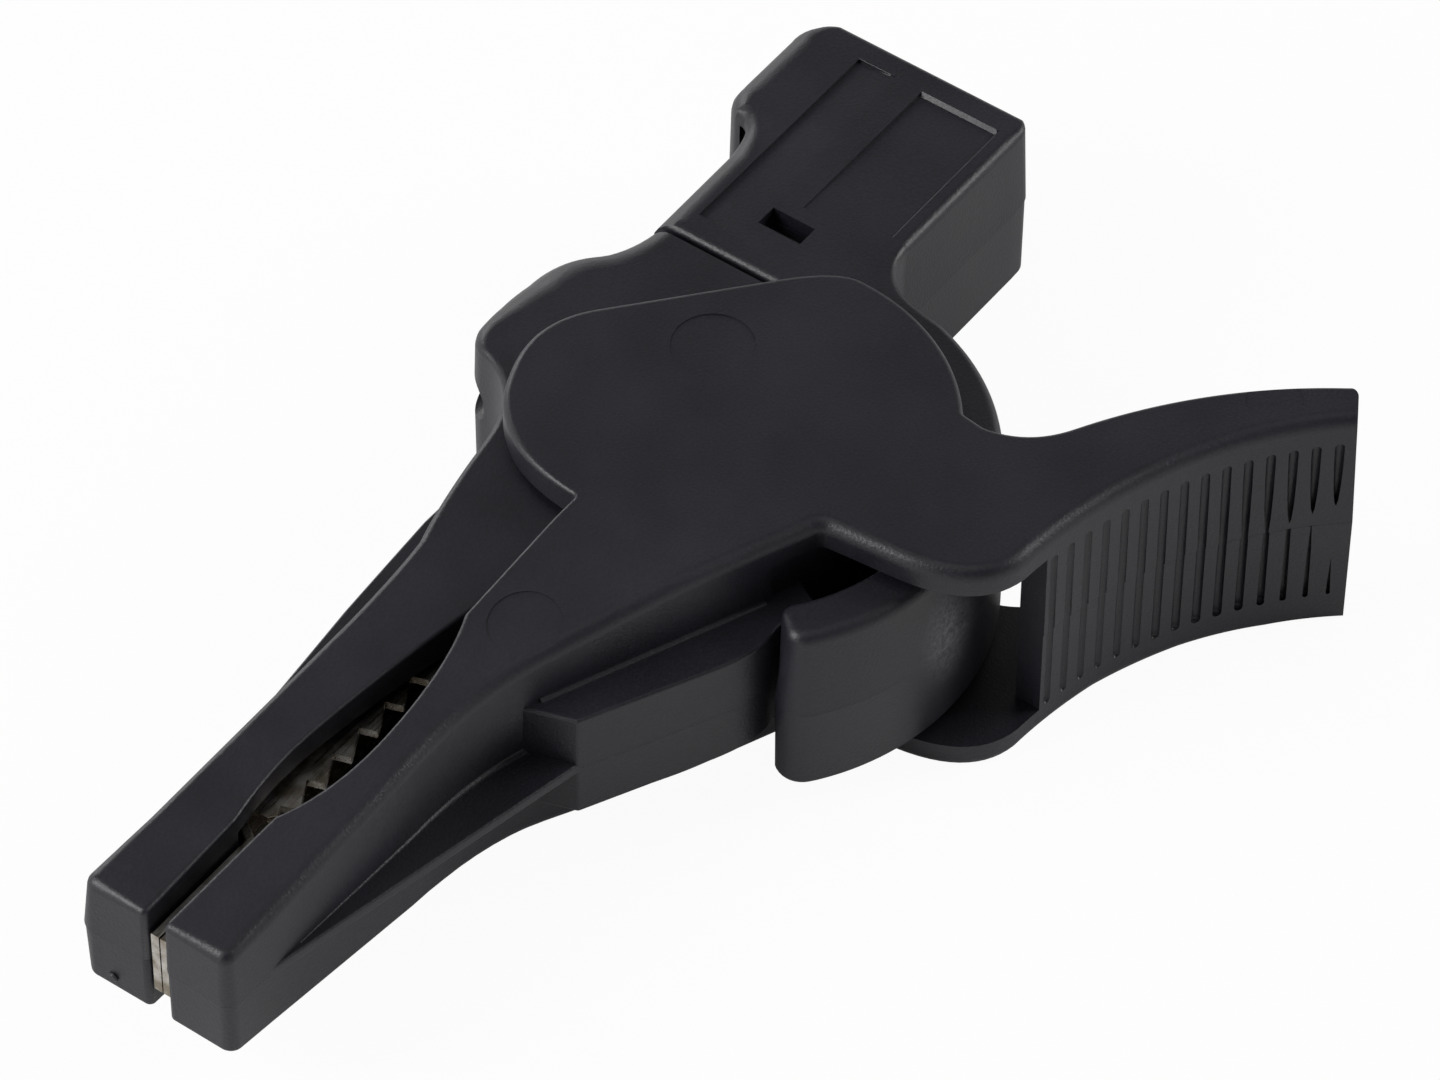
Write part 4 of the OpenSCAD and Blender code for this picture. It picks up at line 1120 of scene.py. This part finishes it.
def contact(name, height, rear, tips, mirrored, pin):
    """One toothed contact: tip strip, channel floor, two toothed flanges with ears about the pin."""

    def flip(y):
        """The given y, or its mirror image in the line between the jaws."""
        return 2 * JAW_LINE - y if mirrored else y

    def turned(rows):
        """Outline through points that are given for the moving contact."""
        return plan([(x, flip(y)) for x, y in rows])

    face, top = JAW_LINE - 0.05, FLOOR_MOVING + SHEET
    strip = slab(name, turned([
        (TIP_X + 0.2, face - SHEET), (0.4 - MOUTH_LIP, face - SHEET), (-MOUTH_FRONT, FLOOR_MOVING),
        (-rear, FLOOR_MOVING), (-rear, top), (-MOUTH_FRONT + 0.3, top), (0.7 - MOUTH_LIP, face),
        (TIP_X + 0.2, face)]), STRIP_HEIGHT / 2, 0.07, rounds=2)
    tools = [slab("floor", turned([
        (-MOUTH_FRONT, FLOOR_MOVING), (-rear, FLOOR_MOVING), (-rear, top), (-MOUTH_FRONT, top)]), height / 2)]
    edges, joggle = flange_edges(height, tips, mirrored)
    for side in (1, -1):
        for tall, edge in edges:
            level = side * (tall - SHEET) / 2
            tools.append(slab("flange", turned(edge), SHEET / 2, SHEET_RIM, level=level, rounds=2))
        if joggle:
            half = (height - TOOTHED_HEIGHT) / 4 + SHEET / 2 - 0.05
            level = side * ((height + TOOTHED_HEIGHT) / 4 - SHEET / 2)
            tools.append(slab("joggle", turned(joggle), half, level=level))
        level = side * (height - SHEET) / 2
        tools.append(rod("ear", level - SHEET / 2, level + SHEET / 2, EAR_RADIUS, "Z", count=64))
    punch = node_piece("tooth_gaps", tooth_tree(), {
        "Count": GAP_COUNT, "Pitch": TOOTH_PITCH * MM, "Width": (TOOTH_PITCH - 0.1) * MM,
        "Start": (FIRST_GAP * MM, flip(tips) * MM, MID * MM), "Depth": TOOTH_DEPTH * MM,
        "Lean": TOOTH_LEAN * MM, "Thickness": 12 * MM})
    holes = [rod("pin_hole", -9, 9, pin, "Z")]
    if mirrored:
        holes.append(rod("rivet_hole", 6, 12, RIVET_HOLE, "Y", (RIVET_FRONT, 0)))
    return carve(strip, join(*tools), cut(punch, *holes))


def build_contacts(finish):
    """Moving and fixed toothed contacts."""
    sheet = rolled_nickel_brass(finish)
    # Each row: node, body, height of the channel, its rear end, tips of the teeth, mirrored, pin hole radius.
    for node, body, *shape in (
            ("moving_contact", "lever_arm", MOVING_HEIGHT, 24.6, 4.7, False, PIN_RADIUS + TURNING_FIT),
            ("fixed_contact", "body", FIXED_HEIGHT, 10.6, 6.27, True, PIN_RADIUS + PRESS_FIT)):
        piece = contact(node + "_sheet", *shape)
        dress(piece, sheet)
        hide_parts(node)
        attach(piece, body)


def spring_path():
    """Centre line of the spring wire: leg to the lever's tail, three turns about the pin, leg to the post."""
    free, steps = 0.05, 192
    coil = PIN_RADIUS + WIRE_RADIUS + 0.35
    rise = MOVING_HEIGHT / 2 - SHEET - WIRE_RADIUS - free
    tail_reach, post_reach = 11.5, 8.2
    # The post's place in degrees and millimetres, and small turns that keep the wire clear of tail and post.
    post_angle, post_place = 330, 7.5
    tail_clear, post_clear = 0.3, 0.8
    leg = TAIL_ANGLE + math.degrees(math.asin((WIRE_RADIUS + free) / tail_reach)) + tail_clear
    beside_post = SPRING_POST_RADIUS + WIRE_RADIUS + free
    post = post_angle - math.degrees(math.asin(beside_post / post_place)) - post_clear
    start = leg + math.degrees(math.acos(coil / tail_reach))
    end = post - math.degrees(math.acos(coil / post_reach)) + 3 * 360
    path = [(*at(tail_reach, leg), -rise)]
    for i in range(steps + 1):
        t = i / steps
        path.append((*at(coil, start + (end - start) * t), -rise + 2 * rise * t))
    return path + [(*at(post_reach, post), rise)]


def finish_node(name, material):
    """Gives a material of this scene to a CAD node that no piece replaces."""
    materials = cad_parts[name].data.materials
    materials.clear()
    materials.append(material)


def build_spring(finish):
    """Torsion spring as one wire, and the finish of the pivot pin."""
    steel = drawn_steel(finish)
    path = line_mesh("torsion_spring_wire", spring_path())
    spring = node_piece("torsion_spring_wire", wire_tree(), {
        "Radius": WIRE_RADIUS * MM, "Material": steel}, path)
    dress(spring, steel, 50)
    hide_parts("torsion_spring")
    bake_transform(spring)
    finish_node("pivot_pin", steel)


def build_socket(finish):
    """Contact sleeve and insulating post of the plug socket, and the finish of strap and rivets."""
    sheet = rolled_nickel_brass(finish)
    tail, mouth, axis = WALL_REAR - 0.8, SLEEVE_MOUTH, (HANDLE_AXIS, 0)
    inner = SLEEVE_RADIUS + PRESS_FIT
    post = lathe("socket_post_tube", [
        (tail, inner), (tail, FLANGE_RADIUS - 0.15), (tail + 0.15, FLANGE_RADIUS), (WALL_REAR, FLANGE_RADIUS),
        (WALL_REAR, POST_RADIUS), (mouth - 0.1, POST_RADIUS), (mouth + 0.25, POST_RADIUS - 0.12),
        (mouth + 0.4, POST_RADIUS - 0.3), (mouth + 0.4, SLEEVE_RADIUS + 0.12), (mouth + 0.3, inner)], axis)
    dress(post, smooth_polyamide(finish))
    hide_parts("socket_post")
    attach(post, "body")
    sleeve = lathe("socket_sleeve_tube", [
        (tail, 0.0), (tail, SLEEVE_RADIUS - 0.1), (tail + 0.1, SLEEVE_RADIUS), (mouth - 0.1, SLEEVE_RADIUS),
        (mouth, SLEEVE_RADIUS - 0.1), (mouth, SLEEVE_BORE + 0.22), (mouth - 0.35, SLEEVE_BORE),
        (SEAM + 0.6, SLEEVE_BORE), (SEAM, 0.0)], axis)
    tab_top = FLOOR_FIXED - SHEET - 0.7
    tab_low, tab_front = tab_top - 0.8, 5.7
    tab = slab("sleeve_tab", plan([
        (tab_front, tab_low), (tail + 1, tab_low), (tail + 1, tab_top), (tab_front, tab_top)]),
        1.5, SHEET_RIM, rounds=2)
    carve(sleeve, join(tab), cut(rod("rivet_hole", 5, 11, RIVET_HOLE, "Y", (RIVET_REAR, 0))))
    dress(sleeve, sheet)
    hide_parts("socket_sleeve")
    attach(sleeve, "body")
    finish_node("link_strap", sheet)
    finish_node("strap_rivets", sheet)


# Stage


def pale_floor(finish):
    """Pale matt paper: white to the camera, dim in reflections, with the clip's own soft shadow."""
    material, tree = empty_material("pale matt paper")
    where = add(tree, "ShaderNodeTexCoord").outputs["Object"]
    # Paper fibres about 0.8 mm long.
    fibre = add(tree, "ShaderNodeTexNoise", {"Vector": where, "Scale": 1 / 0.0008, "Detail": 3.0})
    bump = add(tree, "ShaderNodeBump", {
        "Height": fibre.outputs["Fac"], "Strength": 0.02, "Distance": 0.00005})
    paper = add(tree, "ShaderNodeBsdfDiffuse", {
        "Color": (*finish.floor, 1.0), "Normal": bump.outputs["Normal"]})
    white = add(tree, "ShaderNodeEmission", {"Color": (1.0, 1.0, 1.0, 1.0), "Strength": 1.0})
    path = add(tree, "ShaderNodeLightPath")
    # Reflections show less of the plain white, so that the clip's low sides mirror its own shadow.
    mirrored = add(tree, "ShaderNodeMath", {
        0: path.outputs["Is Glossy Ray"], 1: path.outputs["Is Transmission Ray"]}, operation="MAXIMUM")
    mirrored = add(tree, "ShaderNodeMath", {0: mirrored.outputs[0], 1: 0.12}, operation="MULTIPLY")
    direct = add(tree, "ShaderNodeMath", {0: path.outputs["Is Camera Ray"], 1: 0.95}, operation="MULTIPLY")
    seen = add(tree, "ShaderNodeMath", {0: direct.outputs[0], 1: mirrored.outputs[0]}, operation="MAXIMUM")
    both = add(tree, "ShaderNodeMixShader", {0: seen.outputs[0], 1: paper.outputs[0], 2: white.outputs[0]})
    add(tree, "ShaderNodeOutputMaterial", {"Surface": both.outputs[0]})
    return material


def soft_world():
    """World that is white to the camera and lights the clip from a pale sweep, brightest at table height and
    on the far side, under a dim ceiling."""
    world = bpy.data.worlds.new("soft studio")
    world.use_nodes = True
    tree = world.node_tree
    tree.nodes.clear()
    path = add(tree, "ShaderNodeLightPath")
    rise = add(tree, "ShaderNodeSeparateXYZ", {0: add(tree, "ShaderNodeTexCoord").outputs["Generated"]})
    glow = add(tree, "ShaderNodeMapRange", {
        "Value": rise.outputs["Z"], "From Min": 0.05, "From Max": 0.5, "To Min": 1.2, "To Max": 0.14},
        interpolation_type="SMOOTHSTEP")
    far = add(tree, "ShaderNodeMapRange", {
        "Value": rise.outputs["Y"], "From Min": -0.5, "From Max": 0.4, "To Min": 0.45, "To Max": 1.0},
        interpolation_type="SMOOTHSTEP")
    glow = add(tree, "ShaderNodeMath", {0: glow.outputs["Result"], 1: far.outputs["Result"]},
               operation="MULTIPLY")
    room = add(tree, "ShaderNodeBackground", {"Color": (1.0, 1.0, 1.0, 1.0), "Strength": glow.outputs[0]})
    white = add(tree, "ShaderNodeBackground", {"Color": (1.0, 1.0, 1.0, 1.0), "Strength": 1.0})
    both = add(tree, "ShaderNodeMixShader", {
        0: path.outputs["Is Camera Ray"], 1: room.outputs[0], 2: white.outputs[0]})
    add(tree, "ShaderNodeOutputWorld", {"Surface": both.outputs[0]})
    return world


def place_object(name, data, right, up, back, place):
    """Puts a lamp or the camera in the scene, facing away from back."""
    holder = bpy.data.objects.new(name, data)
    holder.matrix_world = Matrix([(right[k], up[k], back[k], place[k]) for k in range(3)] + [(0, 0, 0, 1)])
    bpy.context.scene.collection.objects.link(holder)
    return holder


def build_stage(finish):
    """Floor, world, soft lamps and the camera at the photo's viewing angle."""
    scene = bpy.context.scene
    scene.view_settings.view_transform = "Standard"
    scene.world = soft_world()
    mesh = bpy.data.meshes.new("floor")
    reach = 1.5
    mesh.from_pydata([(-reach, -reach, 0), (reach, -reach, 0), (reach, reach, 0), (-reach, reach, 0)],
                     [], [(0, 1, 2, 3)])
    floor = bpy.data.objects.new("floor", mesh)
    floor.location.z = -0.00005
    scene.collection.objects.link(floor)
    mesh.materials.append(pale_floor(finish))

    # Each row: name, place and width in metres, power in watts. All lamps face the middle of the clip.
    target = np.array((-0.005, -0.004, 0.009))
    for name, place, width, power in (("far softbox", (-0.3, 0.24, 0.27), 0.22, 1.4),
                                      ("right softbox", (0.42, -0.36, 0.3), 0.3, 1.8),
                                      ("back softbox", (0.25, 0.6, 0.22), 0.25, 0.7),
                                      ("overhead softbox", (-0.1, 0.0, 0.8), 0.5, 0.5)):
        lamp = bpy.data.lights.new(name, "AREA")
        lamp.size = width
        lamp.energy = power
        back = np.array(place) - target
        back /= np.linalg.norm(back)
        side = np.cross((0, 0, 1), back)
        side /= np.linalg.norm(side)
        place_object(name, lamp, side, np.cross(back, side), back, place)

    azimuth, elevation, roll = np.radians((-54.2, 47.8, 0.5))
    back = np.array((math.sin(azimuth) * math.cos(elevation), -math.cos(azimuth) * math.cos(elevation),
                     math.sin(elevation)))
    right = np.array((math.cos(azimuth), math.sin(azimuth), 0.0))
    up = np.cross(back, right)
    right, up = (right * math.cos(roll) + up * math.sin(roll), up * math.cos(roll) - right * math.sin(roll))
    # The camera stands about half a metre from the top of the pivot, which lies near the middle of the photo.
    pivot_top, across, upward, distance = np.array((0, 0, 18.0)), -0.741, -7.716, 493.8
    place = (pivot_top + across * right + upward * up + distance * back) * MM
    lens = bpy.data.cameras.new("photo view")
    lens.sensor_fit = "HORIZONTAL"
    lens.sensor_width = 36
    lens.lens = 200
    lens.clip_end = 20
    scene.camera = place_object("photo view", lens, right, up, back, place)


# Add-on


class ClipSizes(bpy.types.PropertyGroup):
    """Sizes of the clip that a user may change."""
    groove_count: bpy.props.IntProperty(
        name="Grip grooves", description="Number of grooves across the thumb rest", default=15, min=4, max=16)
    groove_pitch: bpy.props.FloatProperty(
        name="Groove pitch", description="Distance between grip grooves", default=1.47 * MM, unit="LENGTH",
        precision=5)
    groove_width: bpy.props.FloatProperty(
        name="Groove width", description="Width of one grip groove", default=0.66 * MM, unit="LENGTH",
        precision=5)
    groove_length: bpy.props.FloatProperty(
        name="Groove length", description="Length of the grip grooves", default=13.8 * MM, unit="LENGTH",
        precision=5)
    panel_depth: bpy.props.FloatProperty(
        name="Panel depth", description="Depth of the bare panels on the handle", default=0.25 * MM,
        unit="LENGTH", precision=5)
    parting_step: bpy.props.FloatProperty(
        name="Parting step", description="Step between the two mould halves at the middle plane",
        default=0.06 * MM, unit="LENGTH", precision=5)


class ClipFinish(bpy.types.PropertyGroup):
    """Colours of the clip and its stage."""
    plastic: bpy.props.FloatVectorProperty(
        name="Plastic", description="Colour of the moulded plastic", subtype="COLOR", size=3, min=0, max=1,
        default=linear("#1b1a22"))
    # Colour of the rubbed patch, lighter than the wear alone because it also paints a highlight.
    rubbed_and_highlight: bpy.props.FloatVectorProperty(
        name="Rubbed plastic with painted highlight", description="Colour of plastic that has been rubbed", subtype="COLOR", size=3,
        min=0, max=1, default=linear("#6a686c"))
    nickel: bpy.props.FloatVectorProperty(
        name="Nickel", description="Colour of full nickel plating", subtype="COLOR", size=3, min=0, max=1,
        default=linear("#d3cfc8"))
    brass: bpy.props.FloatVectorProperty(
        name="Thin plating", description="Colour where the plating is thin", subtype="COLOR", size=3, min=0,
        max=1, default=linear("#93897a"))
    steel: bpy.props.FloatVectorProperty(
        name="Steel", description="Colour of spring and pin", subtype="COLOR", size=3, min=0, max=1,
        default=linear("#c2c3c6"))
    floor: bpy.props.FloatVectorProperty(
        name="Floor", description="Colour of the floor", subtype="COLOR", size=3, min=0, max=1,
        default=linear("#f2f2f2"))


class CLIP_OT_stage(bpy.types.Operator):
    """Set up floor, soft light and the camera"""
    bl_idname = "clip.stage"
    bl_label = "Stage"

    def execute(self, context):
        build_stage(context.scene.clip_finish)
        return {"FINISHED"}


class CLIP_OT_lever(bpy.types.Operator):
    """Build the lever moulding with jaw, cheeks, finger block and grooved thumb arm"""
    bl_idname = "clip.lever"
    bl_label = "Lever"

    def execute(self, context):
        build_lever(context.scene.clip_sizes, context.scene.clip_finish)
        return {"FINISHED"}


class CLIP_OT_front_body(bpy.types.Operator):
    """Build the fixed front moulding with the far jaw and the shoulder"""
    bl_idname = "clip.front_body"
    bl_label = "Front body"

    def execute(self, context):
        build_front_body(context.scene.clip_sizes, context.scene.clip_finish)
        return {"FINISHED"}


class CLIP_OT_handle(bpy.types.Operator):
    """Build the rear handle with its hook and the guard tongue"""
    bl_idname = "clip.handle"
    bl_label = "Rear handle and guard"

    def execute(self, context):
        build_handle(context.scene.clip_sizes, context.scene.clip_finish)
        return {"FINISHED"}


class CLIP_OT_contacts(bpy.types.Operator):
    """Build the two toothed contacts"""
    bl_idname = "clip.contacts"
    bl_label = "Contacts"

    def execute(self, context):
        build_contacts(context.scene.clip_finish)
        return {"FINISHED"}


class CLIP_OT_spring(bpy.types.Operator):
    """Build the torsion spring and finish the pivot pin"""
    bl_idname = "clip.spring"
    bl_label = "Spring and pin"

    def execute(self, context):
        build_spring(context.scene.clip_finish)
        return {"FINISHED"}


class CLIP_OT_socket(bpy.types.Operator):
    """Build the plug socket and finish its strap and rivets"""
    bl_idname = "clip.socket"
    bl_label = "Plug socket"

    def execute(self, context):
        build_socket(context.scene.clip_finish)
        return {"FINISHED"}


OPERATORS = (CLIP_OT_stage, CLIP_OT_lever, CLIP_OT_front_body, CLIP_OT_handle, CLIP_OT_contacts,
             CLIP_OT_spring, CLIP_OT_socket)


class CLIP_PT_panel(bpy.types.Panel):
    """Sidebar panel with the clip's sizes, colours and building steps"""
    bl_idname = "CLIP_PT_panel"
    bl_label = "Crocodile clip"
    bl_space_type = "VIEW_3D"
    bl_region_type = "UI"
    bl_category = "Clip"

    def draw(self, context):
        for group in (context.scene.clip_sizes, context.scene.clip_finish):
            column = self.layout.column()
            for key in group.__annotations__:
                column.prop(group, key)
        for operator in OPERATORS:
            self.layout.operator(operator.bl_idname)


CLASSES = (ClipSizes, ClipFinish, *OPERATORS, CLIP_PT_panel)


def register():
    """Registers the classes and hangs the two groups of settings on the scene."""
    for item in CLASSES:
        bpy.utils.register_class(item)
    bpy.types.Scene.clip_sizes = bpy.props.PointerProperty(type=ClipSizes)
    bpy.types.Scene.clip_finish = bpy.props.PointerProperty(type=ClipFinish)


def unregister():
    """Takes back what register did, in reverse order."""
    del bpy.types.Scene.clip_finish
    del bpy.types.Scene.clip_sizes
    for item in reversed(CLASSES):
        bpy.utils.unregister_class(item)


def main():
    """Builds the stage and every piece."""
    register()
    bpy.ops.clip.stage()
    bpy.ops.clip.lever()
    bpy.ops.clip.front_body()
    bpy.ops.clip.handle()
    bpy.ops.clip.contacts()
    bpy.ops.clip.spring()
    bpy.ops.clip.socket()


if __name__ == "__main__":
    main()
